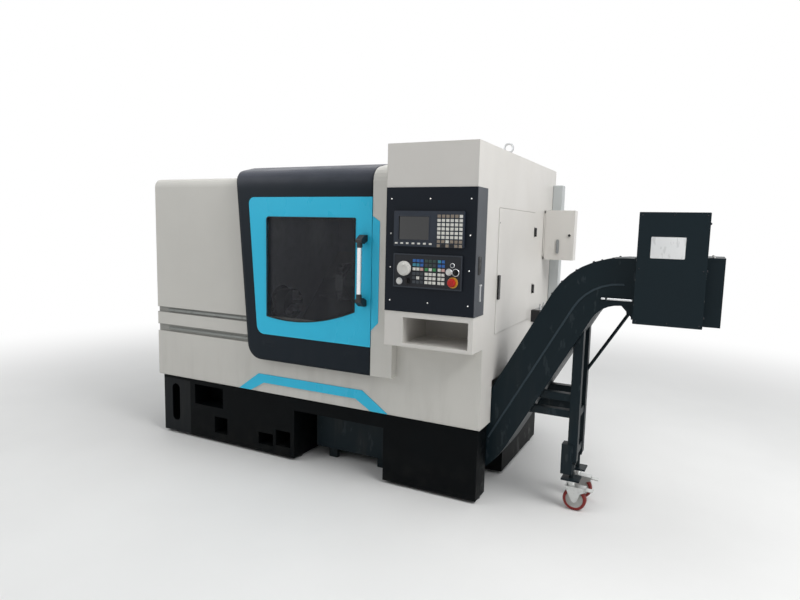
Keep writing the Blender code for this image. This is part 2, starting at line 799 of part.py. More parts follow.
def door_shell():
    """Charcoal door and hood: one bent shell trimmed to the slanted outline, with its guide blocks."""
    front = hood_line()
    back = hood_line(DOOR_SHELL)
    lip = COVER_TOP + RUNNING_GAP
    band = front + [(HOOD_BACK, lip), (HOOD_BACK - DOOR_SHELL, lip)]
    band += [(HOOD_BACK - DOOR_SHELL, HOOD_TOP - DOOR_SHELL)] + back[::-1][1:]
    origin = (DOOR_RIGHT, -DOOR_PROUD, DOOR_BOTTOM)
    shell = place(
        "door_shell",
        extruded("YZ", DOOR_LEFT_TOP - 0.05, DOOR_RIGHT, band),
        "charcoal_paint",
        origin,
    )
    above = HOOD_TOP + 0.05
    outline = rounded(
        [
            (DOOR_RIGHT + 0.01, DOOR_BOTTOM),
            (DOOR_RIGHT + 0.01, above),
            (door_left_edge(above), above),
            (DOOR_LEFT_BOTTOM, DOOR_BOTTOM),
        ],
        [0, 0, 0, DOOR_CORNER_RADIUS],
        radians(11),
    )
    trim = shell.modifiers.new("trim", "BOOLEAN")
    trim.operation = "INTERSECT"
    trim.object = cutter("door_trim", extruded("XZ", -0.2, HOOD_BACK + 0.1, outline))
    cut(shell, extruded("XZ", -0.1, -0.01, window_outline(WINDOW_LAP / 2)))
    for left in (0.99, DOOR_RIGHT - 0.17):
        for low, high in (GROOVE_LOW, GROOVE_HIGH):
            middle = (low + high) / 2
            join(
                shell,
                block(
                    (left, -DOOR_PROUD + DOOR_SHELL / 2, middle - 0.014),
                    (left + 0.10, GROOVE_DEPTH - GAP - RAIL_HEIGHT - GAP, middle + 0.014),
                ),
            )
    return shell


def window_outline(grow=0.0):
    """Window with a small radius at its upper corners and a bottom edge that is a shallow arc."""
    left, right = WINDOW_LEFT - grow, WINDOW_RIGHT + grow
    top = WINDOW_TOP + grow
    low_left, low_right = WINDOW_BOTTOM_LEFT - grow, WINDOW_BOTTOM_RIGHT - grow
    steps = 10
    bottom = []
    for number in range(steps + 1):
        share = number / steps
        straight = low_left + (low_right - low_left) * share
        bottom.append((left + (right - left) * share, straight - 4 * WINDOW_SAG * share * (1 - share)))
    upper = rounded(
        [(right, low_right), (right, top), (left, top), (left, low_left)],
        [0, 0.008, 0.018, 0],
    )
    return bottom + upper[1:-1]


def door_panel():
    """Cyan panel laid on the door round the window."""
    outline = rounded(
        [
            (PANEL_LEFT_BOTTOM, PANEL_BOTTOM),
            (DOOR_RIGHT, PANEL_BOTTOM),
            (DOOR_RIGHT, PANEL_TOP),
            (PANEL_LEFT_TOP, PANEL_TOP),
        ],
        [PANEL_CORNER_RADIUS, 0, 0, PANEL_CORNER_RADIUS * 0.7],
    )
    back = -DOOR_PROUD - GAP
    place(
        "door_panel",
        extruded("XZ", back - PANEL_THICKNESS, back, outline, window_outline()),
        "cyan_paint",
        (DOOR_RIGHT, -DOOR_PROUD, DOOR_BOTTOM),
    )


def door_window():
    """Laminated pane behind the door front, lapping the opening all round."""
    front = -DOOR_PROUD + DOOR_SHELL + GAP
    place(
        "door_window",
        extruded("XZ", front, front + WINDOW_THICKNESS, window_outline(WINDOW_LAP)),
        "smoked_glass",
        (DOOR_RIGHT, -DOOR_PROUD, DOOR_BOTTOM),
    )


def door_handle():
    """Round bar between two bent end fittings, each with a foot on the door."""
    seat = -DOOR_PROUD - PANEL_THICKNESS - 2 * GAP
    front = seat - HANDLE_STANDOFF
    start = (HANDLE_X, front, HANDLE_LOW + HANDLE_END_LENGTH)
    handle = place(
        "door_handle",
        rod(start, "Z", HANDLE_RADIUS, HANDLE_HIGH - HANDLE_LOW - 2 * HANDLE_END_LENGTH),
        "steel",
        (DOOR_RIGHT, -DOOR_PROUD, DOOR_BOTTOM),
    )
    thick = HANDLE_RADIUS * 1.15
    for end, sign in ((HANDLE_LOW, -1), (HANDLE_HIGH, 1)):
        inner = end - sign * (HANDLE_END_LENGTH + 0.004)
        low, high = sorted((inner, end))
        join(handle, rod((HANDLE_X, front, low), "Z", thick, high - low))
        foot_height = end + sign * HANDLE_FOOT_RISE
        low, high = sorted((end - sign * thick, foot_height + sign * thick))
        side = rounded(
            [
                (front - thick, end - sign * 0.010),
                (front + thick, end - sign * 0.018),
                (seat, foot_height - sign * 0.022),
                (seat, foot_height + sign * 0.012),
                (front + 0.4 * HANDLE_STANDOFF, foot_height + sign * 0.012),
                (front - thick, end + sign * 0.006),
            ],
            [0, 0, 0, 0.003, 0.012, 0.005],
        )
        join(
            handle,
            extruded("YZ", HANDLE_X - thick, HANDLE_X + thick + HANDLE_FOOT_SHIFT * 0.3, side),
        )
    return handle


def door_pillar():
    """Fixed pillar that carries the hood line on to the cabinet."""
    left, right = DOOR_RIGHT + RUNNING_GAP, PILLAR_RIGHT - GAP
    lip = COVER_TOP + GAP
    outline = hood_line() + [(HOOD_BACK, lip), (-GAP, lip), (-GAP, DOOR_BOTTOM)]
    place("door_pillar", extruded("YZ", left, right, outline), "beige_paint")
    stripe = [(left + across, height) for across, height in PILLAR_STRIPE]
    front = -DOOR_PROUD - GAP
    place(
        "pillar_stripe",
        extruded("XZ", front - STRIPE_THICKNESS, front, stripe),
        "cyan_paint",
    )


def control_cabinet():
    """Cabinet sheet body: solid operator side, open shelf and an electrical bay behind the side door."""
    left, right = PILLAR_RIGHT + GAP, MACHINE_WIDTH
    skirt_back = SKIRT_THICKNESS + GAP
    side = [
        (CABINET_FRONT, SHELF_BOX_BOTTOM),
        (skirt_back, SHELF_BOX_BOTTOM),
        (skirt_back, SKIRT_NOTCH),
        (SKIRT_FOLD + GAP, SKIRT_NOTCH),
        (SKIRT_FOLD + GAP, SKIRT_BOTTOM),
        (CABINET_DEPTH, SKIRT_BOTTOM),
        (CABINET_DEPTH, CABINET_TOP),
        (CABINET_FRONT, CABINET_TOP),
    ]
    cabinet = place("control_cabinet", extruded("YZ", left, right, side), "light_paint")
    (shelf_left, shelf_low), (shelf_right, shelf_high) = SHELF_OPENING
    bay_left = BAY_LEFT
    gap = SIDE_DOOR_CLEARANCE
    cut(
        cabinet,
        block(
            (shelf_left, CABINET_FRONT - 0.02, shelf_low),
            (shelf_right, CABINET_FRONT + SHELF_DEPTH, shelf_high),
        ),
        block((bay_left, BAY_FRONT, BAY_BOTTOM), (right - SHEET, BAY_BACK, BAY_TOP)),
        block(
            (right - SHEET * 2, SIDE_DOOR_FRONT - gap, SIDE_DOOR_BOTTOM - gap),
            (right + SHEET, SIDE_DOOR_BACK + gap, SIDE_DOOR_TOP + gap),
        ),
        block(
            (left - 0.02, CONVEYOR_FRONT - CONVEYOR_CLEARANCE, BASE_TOP - 0.02),
            (right + 0.02, CONVEYOR_BACK + CONVEYOR_CLEARANCE, BAY_BOTTOM - 0.03),
        ),
        block(
            (left - 0.02, CONVEYOR_BACK + 0.06, BASE_TOP - 0.02),
            (right - SHEET, CABINET_DEPTH - SHEET, BAY_BOTTOM - 0.03),
        ),
        block(
            (left + SHEET, BAY_BACK + 0.02, BAY_BOTTOM),
            (right - SHEET, CABINET_DEPTH - SHEET, CABINET_TOP - SHEET),
        ),
        block(
            (left + 0.02, BAY_BACK + 0.1, BAY_BOTTOM - 0.05),
            (right - 0.05, CABINET_DEPTH - 0.05, BAY_BOTTOM + 0.02),
        ),
    )
    return cabinet


def fascia():
    """Black front plate, bent round the right side of the cabinet."""
    left, right = PILLAR_RIGHT + GAP, MACHINE_WIDTH
    front = CABINET_FRONT
    thick = FASCIA_THICKNESS
    outline = [
        (left, front - GAP),
        (left, front - GAP - thick),
        (right + GAP + thick, front - GAP - thick),
        (right + GAP + thick, front + FASCIA_RETURN),
        (right + GAP, front + FASCIA_RETURN),
        (right + GAP, front - GAP),
    ]
    place("fascia_plate", extruded("XY", FASCIA_LOW, FASCIA_HIGH, outline), "fascia_black")


def panel_face():
    return CABINET_FRONT - GAP - FASCIA_THICKNESS - GAP


def keys(body, columns, rows, size, front):
    """Joins a block of square keys to the piece that carries them."""
    half, tall = size[0] / 2, size[1] / 2
    for across in columns:
        for up in rows:
            low = (across - half, front - KEY_RISE, up - tall)
            join(body, block(low, (across + half, front + KEY_RISE, up + tall)))


def spread(first, last, count):
    return [first + (last - first) * number / (count - 1) for number in range(count)]


def cnc_unit():
    """Display unit: bezel with a sunk screen, a row of soft keys and a raised key field."""
    back = panel_face()
    front = back - CNC_THICKNESS
    unit = place(
        "cnc_unit",
        extruded("XZ", front, back, rectangle((CNC_LEFT, CNC_LOW), (CNC_RIGHT, CNC_HIGH), 0.006)),
        "fascia_black",
    )
    (left, low), (right, high) = SCREEN
    cut(unit, block((left, front - SHEET, low), (right, front + SCREEN_SINK, high)))
    (left, low), (right, high) = KEY_FIELD
    keys(unit, spread(left, right, 6), spread(low, high, 8), KEY_SIZE, front)
    screen_left, screen_right = SCREEN[0][0], SCREEN[1][0]
    soft = spread(screen_left - 0.012, screen_right + 0.010, 7)
    keys(unit, soft, [SCREEN[0][1] - SOFT_KEY_DROP], SOFT_KEY_SIZE, front)
    return unit


def operator_panel():
    """Operator panel with a raised rim and three groups of keys."""
    back = panel_face()
    front = back - OPERATOR_THICKNESS
    low_corner, high_corner = (OPERATOR_LEFT, OPERATOR_LOW), (OPERATOR_RIGHT, OPERATOR_HIGH)
    panel = place(
        "operator_panel",
        extruded("XZ", front, back, rectangle(low_corner, high_corner, 0.005)),
        "fascia_black",
    )
    face = front + OPERATOR_SINK
    cut(
        panel,
        block(
            (OPERATOR_LEFT + OPERATOR_RIM, front - SHEET, OPERATOR_LOW + OPERATOR_RIM),
            (OPERATOR_RIGHT - OPERATOR_RIM, face, OPERATOR_HIGH - OPERATOR_RIM),
        ),
    )
    for rows in PANEL_KEY_ROWS:
        for columns in PANEL_KEY_COLUMNS:
            keys(panel, spread(*columns), spread(*rows), KEY_SIZE, face)
    across, up = KEY_LOCK_PLACE
    rise = KEY_LOCK_RISE
    join(panel, rod((across, face - rise, up), "Y", KEY_LOCK_RADIUS, rise + KEY_RISE, 16))
    return panel


def operator_face():
    return panel_face() - OPERATOR_THICKNESS + OPERATOR_SINK - GAP


def turned_control(name, surface, where, profile, segments=SEGMENTS):
    """A round control on the operator panel, its axis pointing into the panel."""
    across, up = where
    base = operator_face()
    mesh = turned(
        [(radius, -height) for radius, height in profile][::-1],
        (across, base, up),
        "Y",
        segments,
    )
    return place(name, mesh, surface, (across, base, up))


def handwheel():
    r, h = HANDWHEEL_RADIUS, HANDWHEEL_HEIGHT
    profile = [
        (0, h),
        (r * 0.62, h),
        (r * 0.80, h * 0.93),
        (r * 0.86, h * 0.7),
        (r, h * 0.62),
        (r, h * 0.2),
        (r * 0.8, 0),
        (0, 0),
    ]
    wheel = turned_control("handwheel", "white_plastic", HANDWHEEL_PLACE, profile, FINE_SEGMENTS)
    knob_y = operator_face() - h
    across, up = HANDWHEEL_PLACE
    join(
        wheel,
        rod(
            (across, knob_y - CRANK_RISE, up + r * 0.45),
            "Y",
            CRANK_RADIUS,
            CRANK_RISE + SHEET,
            12,
        ),
    )
    return wheel


def pointer_knob(name, where):
    r, h = KNOB_RADIUS, KNOB_HEIGHT
    profile = [(0, h * 0.35), (r, h * 0.35), (r * 1.05, 0), (0, 0)]
    knob = turned_control(name, "black_plastic", where, profile, SEGMENTS)
    across, up = where
    face = operator_face()
    join(
        knob,
        extruded(
            "XZ",
            face - h,
            face - h * 0.2,
            rectangle(
                (across - r * 0.32, up - r * 0.95),
                (across + r * 0.32, up + r * 0.95),
                0.003,
            ),
        ),
    )
    return knob


def push_button(name, where):
    r = BUTTON_RADIUS
    rise = BUTTON_TRAVEL + BEZEL_RISE
    profile = [(0, rise), (r * 0.9, rise), (r, rise - 0.001), (r, 0), (0, 0)]
    return turned_control(name, "white_plastic", where, profile)


def button_seats(panel):
    """Rings on the panel with the blind holes in which the pressed controls run."""
    face = operator_face() + GAP
    seats = (
        (START_PLACE, BUTTON_RADIUS, BUTTON_RADIUS + BEZEL_WIDTH, BEZEL_RISE, BUTTON_TRAVEL),
        (STOP_PLACE, BUTTON_RADIUS, BUTTON_RADIUS + BEZEL_WIDTH, BEZEL_RISE, BUTTON_TRAVEL),
        (ESTOP_PLACE, ESTOP_STEM, ESTOP_COLLAR, COLLAR_RISE, ESTOP_TRAVEL),
    )
    for (across, up), inner, outer, rise, travel in seats:
        join(panel, rod((across, face - rise, up), "Y", outer, rise + SHEET, SEGMENTS))
        cut(
            panel,
            rod(
                (across, face - 2 * rise, up),
                "Y",
                inner + GAP,
                2 * rise + travel + SEAT_CLEARANCE,
                SEGMENTS,
            ),
        )


def circle(middle, radius, count=SEGMENTS):
    return [
        (middle[0] + radius * cos(2 * pi * n / count), middle[1] + radius * sin(2 * pi * n / count))
        for n in range(count)
    ]


def emergency_stop():
    r, h = ESTOP_RADIUS, ESTOP_HEIGHT
    profile = [
        (0, h),
        (r * 0.6, h * 0.98),
        (r * 0.92, h * 0.86),
        (r, h * 0.7),
        (r, h * 0.55),
        (ESTOP_STEM, h * 0.42),
        (ESTOP_STEM, 0),
        (0, 0),
    ]
    return turned_control("emergency_stop", "red_plastic", ESTOP_PLACE, profile)


def electrical_door():
    """Folded door let into the cabinet side, hung on two hinge knuckles at its rear edge."""
    outer = MACHINE_WIDTH + SIDE_DOOR_PROUD
    face = outer - SIDE_DOOR_THICKNESS
    thick = SIDE_DOOR_THICKNESS
    axis = hinge_axis()
    door = place(
        "electrical_door",
        block((face, SIDE_DOOR_FRONT, SIDE_DOOR_BOTTOM), (face + thick, SIDE_DOOR_BACK, SIDE_DOOR_TOP)),
        "light_paint",
        axis,
    )
    cut(
        door,
        block(
            (face - 0.01, SIDE_DOOR_FRONT + SHEET, SIDE_DOOR_BOTTOM + SHEET),
            (face + thick - SHEET, SIDE_DOOR_BACK - SHEET, SIDE_DOOR_TOP - SHEET),
        ),
    )
    for height in HINGE_HEIGHTS:
        leaf = block(
            (outer - SHEET / 2, SIDE_DOOR_BACK - HINGE_LEAF, height - HINGE_LENGTH / 2),
            (axis[0] + HINGE_RADIUS * 0.5, axis[1], height + HINGE_LENGTH / 2),
        )
        knuckle = rod((axis[0], axis[1], height - HINGE_LENGTH / 2), "Z", HINGE_RADIUS, HINGE_LENGTH, 16)
        join(door, leaf, knuckle)
    return door


def hinge_axis():
    return (
        MACHINE_WIDTH + GAP + HINGE_RADIUS + GAP,
        SIDE_DOOR_BACK + HINGE_RADIUS + RUNNING_GAP,
        SIDE_DOOR_BOTTOM,
    )


def hinge_brackets(cabinet):
    """Pin bearings on the cabinet side, one under each knuckle of the door."""
    x, y, _ = hinge_axis()
    for height in HINGE_HEIGHTS:
        top = height - HINGE_LENGTH / 2 - GAP
        low = top - HINGE_BEARING
        arm = HINGE_RADIUS * 0.9
        join(
            cabinet,
            block((MACHINE_WIDTH - SHEET / 2, y - arm, low), (x, y + arm, top)),
            rod((x, y, low), "Z", HINGE_RADIUS, HINGE_BEARING, 16),
        )


def door_latch():
    """Swing handle of the electrical door, turned about its own middle."""
    face = MACHINE_WIDTH + SIDE_DOOR_PROUD + GAP
    wide, tall = LATCH_SIZE
    origin = (face, LATCH_Y, LATCH_HEIGHT)
    latch = place(
        "door_latch",
        extruded(
            "YZ",
            face,
            face + LATCH_THICKNESS,
            rectangle(
                (LATCH_Y - wide / 2, LATCH_HEIGHT - tall / 2),
                (LATCH_Y + wide / 2, LATCH_HEIGHT + tall / 2),
                0.008,
            ),
        ),
        "black_plastic",
        origin,
    )
    ease(latch, 0.002)
    return latch


def electrical_plate():
    """Mounting plate with drives, contactor row and wiring ducts, fixed to the wall of the bay."""
    back = BAY_LEFT + GAP
    wall = back + SHEET / 2
    low, high = BAY_BOTTOM + PLATE_INSET, BAY_TOP - PLATE_INSET
    plate = place(
        "electrical_plate",
        block(
            (back, BAY_FRONT + PLATE_INSET / 2, low),
            (back + SHEET, BAY_BACK - PLATE_INSET / 2, high),
        ),
        "grey_paint",
    )
    wide, tall, deep = DRIVE_SIZE
    top = high - DRIVE_DROP
    for front in spread(BAY_FRONT + DRIVE_MARGIN, BAY_BACK - DRIVE_MARGIN - wide, 4):
        join(plate, block((wall, front, top - tall), (back + deep, front + wide, top)))
    deep, tall = WIRE_DUCT
    for level in (low + tall, top - DRIVE_SIZE[1] - 2 * tall, high - tall - PLATE_EDGE):
        join(
            plate,
            block(
                (wall, BAY_FRONT + PLATE_INSET, level),
                (back + deep, BAY_BACK - PLATE_INSET, level + tall),
            ),
        )
    level, deep, tall = CONTACTOR_ROW
    join(
        plate,
        block(
            (wall, BAY_FRONT + DRIVE_MARGIN, low + level),
            (back + deep, BAY_BACK - DRIVE_MARGIN, low + level + tall),
        ),
    )
    return plate


def side_box():
    """White wall box beside the cabinet, open towards its lid, with the grey duct behind it."""
    left, right = MACHINE_WIDTH + GAP, SIDE_BOX_RIGHT
    low, high = SIDE_BOX_LOW, SIDE_BOX_HIGH
    box = place(
        "side_box",
        block((left, SIDE_BOX_FRONT + SIDE_BOX_LID + GAP, low), (right, SIDE_BOX_BACK, high)),
        "light_paint",
    )
    sheet = SIDE_BOX_SHEET
    cut(
        box,
        block(
            (left + sheet, SIDE_BOX_FRONT, low + sheet),
            (right - sheet, SIDE_BOX_BACK - sheet, high - sheet),
        ),
    )
    hinge = side_box_axis()
    lid = place(
        "side_box_lid",
        block((left + 0.014, SIDE_BOX_FRONT, low), (right, SIDE_BOX_FRONT + SIDE_BOX_LID, high)),
        "light_paint",
        hinge,
    )
    cut(
        lid,
        block(
            (left + 0.014 + sheet, SIDE_BOX_FRONT + sheet, low + sheet),
            (right - sheet, SIDE_BOX_FRONT + SIDE_BOX_LID + 0.01, high - sheet),
        ),
        extruded(
            "XZ",
            SIDE_BOX_FRONT - 0.01,
            SIDE_BOX_FRONT + 0.02,
            rectangle(*SIDE_BOX_SLOT, 0.0079),
        ),
    )
    join(
        lid,
        block(
            (hinge[0], SIDE_BOX_FRONT + 0.004, low + 0.02),
            (left + 0.016, SIDE_BOX_FRONT + 0.004 + sheet, high - 0.02),
        ),
        rod((hinge[0], hinge[1], low + 0.02), "Z", SIDE_BOX_PIN, high - low - 0.04, 12),
        rod((LOCK_PLACE[0], SIDE_BOX_FRONT - 0.006, LOCK_PLACE[1]), "Y", 0.011, 0.010, 16),
    )
    return box


def side_box_axis():
    return (MACHINE_WIDTH + 2 * GAP + SIDE_BOX_PIN, SIDE_BOX_FRONT + 0.0055, SIDE_BOX_LOW)


def rear_duct():
    """Grey duct down the rear corner of the cabinet side."""
    duct = place(
        "rear_duct",
        block((MACHINE_WIDTH + GAP, DUCT_FRONT, DUCT_LOW), (DUCT_RIGHT, CABINET_DEPTH, DUCT_TOP)),
        "grey_paint",
    )
    ease(duct, 0.006, 2)


def fluid_manifold():
    """Connector block low on the cabinet side, with a black end and three upright fittings."""
    left = MACHINE_WIDTH + GAP
    manifold = place(
        "fluid_manifold",
        block((left, MANIFOLD_FRONT, MANIFOLD_LOW), (MANIFOLD_RIGHT, MANIFOLD_BACK, MANIFOLD_HIGH)),
        "grey_paint",
    )
    middle = (left + MANIFOLD_RIGHT) / 2
    join(
        manifold,
        block(
            (left, MANIFOLD_FRONT - 0.03, MANIFOLD_LOW - 0.006),
            (MANIFOLD_RIGHT + 0.004, MANIFOLD_FRONT + 0.012, MANIFOLD_HIGH + 0.004),
        ),
    )
    for front in spread(MANIFOLD_FRONT + 0.10, MANIFOLD_BACK - 0.05, 3):
        profile = [
            (0, FITTING_HEIGHT),
            (FITTING_RADIUS * 0.5, FITTING_HEIGHT),
            (FITTING_RADIUS * 0.6, FITTING_HEIGHT * 0.45),
            (FITTING_RADIUS, FITTING_HEIGHT * 0.4),
            (FITTING_RADIUS, -0.002),
            (0, -0.002),
        ]
        join(manifold, turned(profile, (middle, front, MANIFOLD_HIGH), "Z", 12))
    return manifold


def eye_bolt():
    """Lifting eye on the cabinet roof, its ring facing the front."""
    x = MACHINE_WIDTH - EYE_BOLT_INSET
    top = CABINET_TOP + GAP
    shank = 0.012
    profile = [(0, shank), (0.010, shank), (0.014, 0.006), (0.020, 0.005), (0.020, 0), (0, 0)]
    eye = place(
        "eye_bolt",
        turned(profile, (x, EYE_BOLT_Y, top), "Z", 16),
        "steel",
        (x, EYE_BOLT_Y, top),
    )
    ring = bmesh.new()
    major, minor, around, along = EYE_BOLT_RING, EYE_BOLT_WIRE, 24, 8
    hoop = [(major + minor * cos(2 * pi * n / along), minor * sin(2 * pi * n / along)) for n in range(along)]
    rows = []
    for step in range(around):
        turn = Matrix.Rotation(2 * pi * step / around, 4, "Y")
        rows.append([ring.verts.new(turn @ Vector((0, side, radius))) for radius, side in hoop])
    for step in range(around):
        here, after = rows[step], rows[(step + 1) % around]
        for n in range(along):
            ring.faces.new((here[n], here[(n + 1) % along], after[(n + 1) % along], after[n]))
    bmesh.ops.recalc_face_normals(ring, faces=ring.faces)
    ring.transform(Matrix.Translation((x, EYE_BOLT_Y, top + shank + major - 0.001)))
    join(eye, mesh_of(ring))
    return eye


def base_frame():
    """Welded base: two pedestals bridged over a tunnel, with pockets, a conveyor channel and eight feet."""
    outline = [
        (END_PANEL_RIGHT + GAP, BASE_BOTTOM),
        (LEFT_BLOCK_RIGHT, BASE_BOTTOM),
        (LEFT_BLOCK_RIGHT, TUNNEL_TOP),
        (TUNNEL_RIGHT, TUNNEL_TOP),
        (TUNNEL_RIGHT, BASE_BOTTOM),
        (BASE_RIGHT, BASE_BOTTOM),
        (BASE_RIGHT, BASE_TOP),
        (BASE_LEFT, BASE_TOP),
        (BASE_LEFT, END_PANEL_TOP + GAP),
        (END_PANEL_RIGHT + GAP, END_PANEL_TOP + GAP),
    ]
    base = place("base_frame", extruded("XZ", BASE_FRONT, BASE_BACK, outline), "base_black")
    for (left, low), (right, high) in BASE_POCKETS:
        cut(base, block((left, BASE_FRONT - 0.02, low), (right, BASE_FRONT + POCKET_DEPTH, high)))
    channel_front = CONVEYOR_FRONT - CONVEYOR_CLEARANCE
    channel_back = CONVEYOR_BACK + CONVEYOR_CLEARANCE
    roof = CONVEYOR_FLOOR + CONVEYOR_DEPTH + CONVEYOR_CLEARANCE
    rising = CONVEYOR_RISE_START - 0.06
    cut(
        base,
        block((TUNNEL_RIGHT - 0.05, channel_front, -0.05), (BASE_RIGHT + 0.05, channel_back, roof)),
        block((rising, channel_front, -0.05), (BASE_RIGHT + 0.05, channel_back, BASE_TOP + 0.05)),
    )
    profile = [
        (0, BASE_BOTTOM + 0.004),
        (FOOT_STEM_RADIUS, BASE_BOTTOM + 0.004),
        (FOOT_STEM_RADIUS, FOOT_PAD),
        (FOOT_RADIUS * 0.55, FOOT_PAD),
        (FOOT_RADIUS, FOOT_PAD * 0.45),
        (FOOT_RADIUS, 0),
        (0, 0),
    ]
    for x in FOOT_XS:
        for y in (BASE_FRONT + FOOT_INSET, BASE_BACK - FOOT_INSET):
            join(base, turned(profile, (x, y, 0), "Z", 12))
    return base


def base_end_panel():
    """Grey panel at the left end of the base, with a rounded hand slot."""
    low, high = END_PANEL_SLOT
    radius = (high[0] - low[0]) / 2 - 0.002
    left, right, front = BASE_LEFT, END_PANEL_RIGHT, BASE_FRONT
    corner = [
        (left, front),
        (right, front),
        (right, front + PLATE),
        (left + PLATE, front + PLATE),
        (left + PLATE, BASE_BACK),
        (left, BASE_BACK),
    ]
    panel = place("base_end_panel", extruded("XY", BASE_BOTTOM, END_PANEL_TOP, corner), "grey_paint")
    cut(panel, extruded("XZ", front - 0.01, front + PLATE + 0.01, rectangle(low, high, radius)))
    return panel


ALONG = Vector((0, cos(SLANT), sin(SLANT)))
UPWARD = Vector((0, -sin(SLANT), cos(SLANT)))
SPINDLE = Vector((0, SPINDLE_Y, SPINDLE_Z))
SLANT_FRAME = Matrix.Translation(SPINDLE) @ Matrix.Rotation(SLANT, 4, "X")


def slanted(mesh):
    """Moves a mesh drawn in the slanted frame, whose origin is on the spindle axis, to the machine."""
    return moved(mesh, SLANT_FRAME)


def slant_point(x, along, upward):
    point = SPINDLE + ALONG * along + UPWARD * upward
    return (x, point.y, point.z)


def slant_bed():
    """Slanted casting on the base, with two hardened ways for the carriage."""
    low = BASE_TOP + GAP
    foot = SPINDLE + UPWARD * -BED_DISTANCE
    line = foot.z - foot.y
    front = low + BED_TOE - line
    top = BED_BACK - BED_SHELF + line
    side = [
        (front, low),
        (BED_BACK, low),
        (BED_BACK, top),
        (BED_BACK - BED_SHELF, top),
        (front, low + BED_TOE),
    ]
    bed = place("slant_bed", extruded("YZ", BED_LEFT, BED_RIGHT, side), "cast_iron")
    for along in (CARRIAGE_ALONG - WAY_SPACING / 2, CARRIAGE_ALONG + WAY_SPACING / 2):
        half = WAY_WIDTH / 2
        way = block(
            (WAY_LEFT, along - half, -BED_DISTANCE - 0.01),
            (BED_RIGHT - 0.02, along + half, -BED_DISTANCE + WAY_HEIGHT),
        )
        join(bed, slanted(way))
    fall = BED_WALL * sqrt(2)
    pocket_low, pocket_top = low + BED_WALL, top - BED_WALL
    pocket = [
        (pocket_low - line + fall, pocket_low),
        (BED_BACK + BED_WALL, pocket_low),
        (BED_BACK + BED_WALL, pocket_top),
        (pocket_top - line + fall, pocket_top),
    ]
    for left in spread(BED_LEFT + POCKET_MARGIN, BED_RIGHT - POCKET_MARGIN - POCKET_WIDTH, 3):
        cut(bed, extruded("YZ", left, left + POCKET_WIDTH, pocket))
    return bed


def headstock():
    """Spindle housing seated on the slanted face of the bed."""
    half = HEADSTOCK_HALF
    foot = half + 0.03
    seat = -BED_DISTANCE + GAP
    side = rounded(
        [
            (-foot, seat),
            (foot, seat),
            (foot, seat + 0.04),
            (half, seat + 0.07),
            (half, half),
            (-half, half),
            (-half, seat + 0.07),
            (-foot, seat + 0.04),
        ],
        [0, 0, 0, 0, 0.05, 0.05, 0, 0],
    )
    housing = place(
        "headstock",
        slanted(extruded("YZ", HEADSTOCK_LEFT, HEADSTOCK_RIGHT, side)),
        "cast_iron",
    )
    bore = circle((SPINDLE_Y, SPINDLE_Z), SPINDLE_RADIUS + GAP, FINE_SEGMENTS)
    cut(housing, extruded("YZ", HEADSTOCK_LEFT - 0.01, HEADSTOCK_RIGHT + 0.01, bore))
    return housing


def spindle():
    """Hollow spindle: tail, journal and nose flange."""
    start = (0, SPINDLE_Y, SPINDLE_Z)
    tail = HEADSTOCK_LEFT - SPINDLE_TAIL
    nose = HEADSTOCK_RIGHT + RUNNING_GAP
    front = CHUCK_BACK - GAP
    profile = [
        (CHUCK_BORE, front),
        (SPINDLE_NOSE, front),
        (SPINDLE_NOSE, nose),
        (SPINDLE_RADIUS, nose),
        (SPINDLE_RADIUS, tail),
        (CHUCK_BORE, tail),
        (CHUCK_BORE, front),
    ]
    return place(
        "spindle",
        turned(profile, start, "X", FINE_SEGMENTS),
        "steel",
        (tail, SPINDLE_Y, SPINDLE_Z),
    )


def chuck():
    """Three-jaw power chuck with radial guideways, and its stepped jaws."""
    back, front = CHUCK_BACK, CHUCK_BACK + CHUCK_LENGTH
    r = CHUCK_RADIUS
    profile = [
        (CHUCK_BORE, front - 0.006),
        (CHUCK_BORE + 0.010, front - 0.006),
        (CHUCK_BORE + 0.010, front),
        (r - 0.004, front),
        (r, front - 0.004),
        (r, back + 0.030),
        (r - 0.003, back + 0.026),
        (r - 0.003, back),
        (CHUCK_BORE, back),
        (CHUCK_BORE, front - 0.006),
    ]
    body = place(
        "chuck_body",
        turned(profile, (0, SPINDLE_Y, SPINDLE_Z), "X", FINE_SEGMENTS),
        "blackened_steel",
        (back, SPINDLE_Y, SPINDLE_Z),
    )
    half = JAW_WIDTH / 2
    guide = 0.014
    for number in range(3):
        turn = jaw_turn(number)
        slot = block(
            (front - guide, -half - GAP, JAW_INNER - JAW_STROKE - 0.001),
            (front + 0.01, half + GAP, r + 0.01),
        )
        cut(body, moved(slot, turn))
        side = [
            (front - guide + GAP, JAW_INNER),
            (front + JAW_HEIGHT, JAW_INNER),
            (front + JAW_HEIGHT, JAW_STEP),
            (front + JAW_HEIGHT * 0.5, JAW_STEP),
            (front + JAW_HEIGHT * 0.5, JAW_OUTER),
            (front - guide + GAP, JAW_OUTER),
        ]
        jaw = extruded("XZ", -half, half, side)
        middle = turn @ Vector((front, 0, (JAW_INNER + JAW_OUTER) / 2))
        place(f"chuck_jaw_{number + 1}", moved(jaw, turn), "steel", middle)
    return body


def jaw_turn(number):
    return Matrix.Translation(SPINDLE) @ Matrix.Rotation(2 * pi * number / 3, 4, "X")


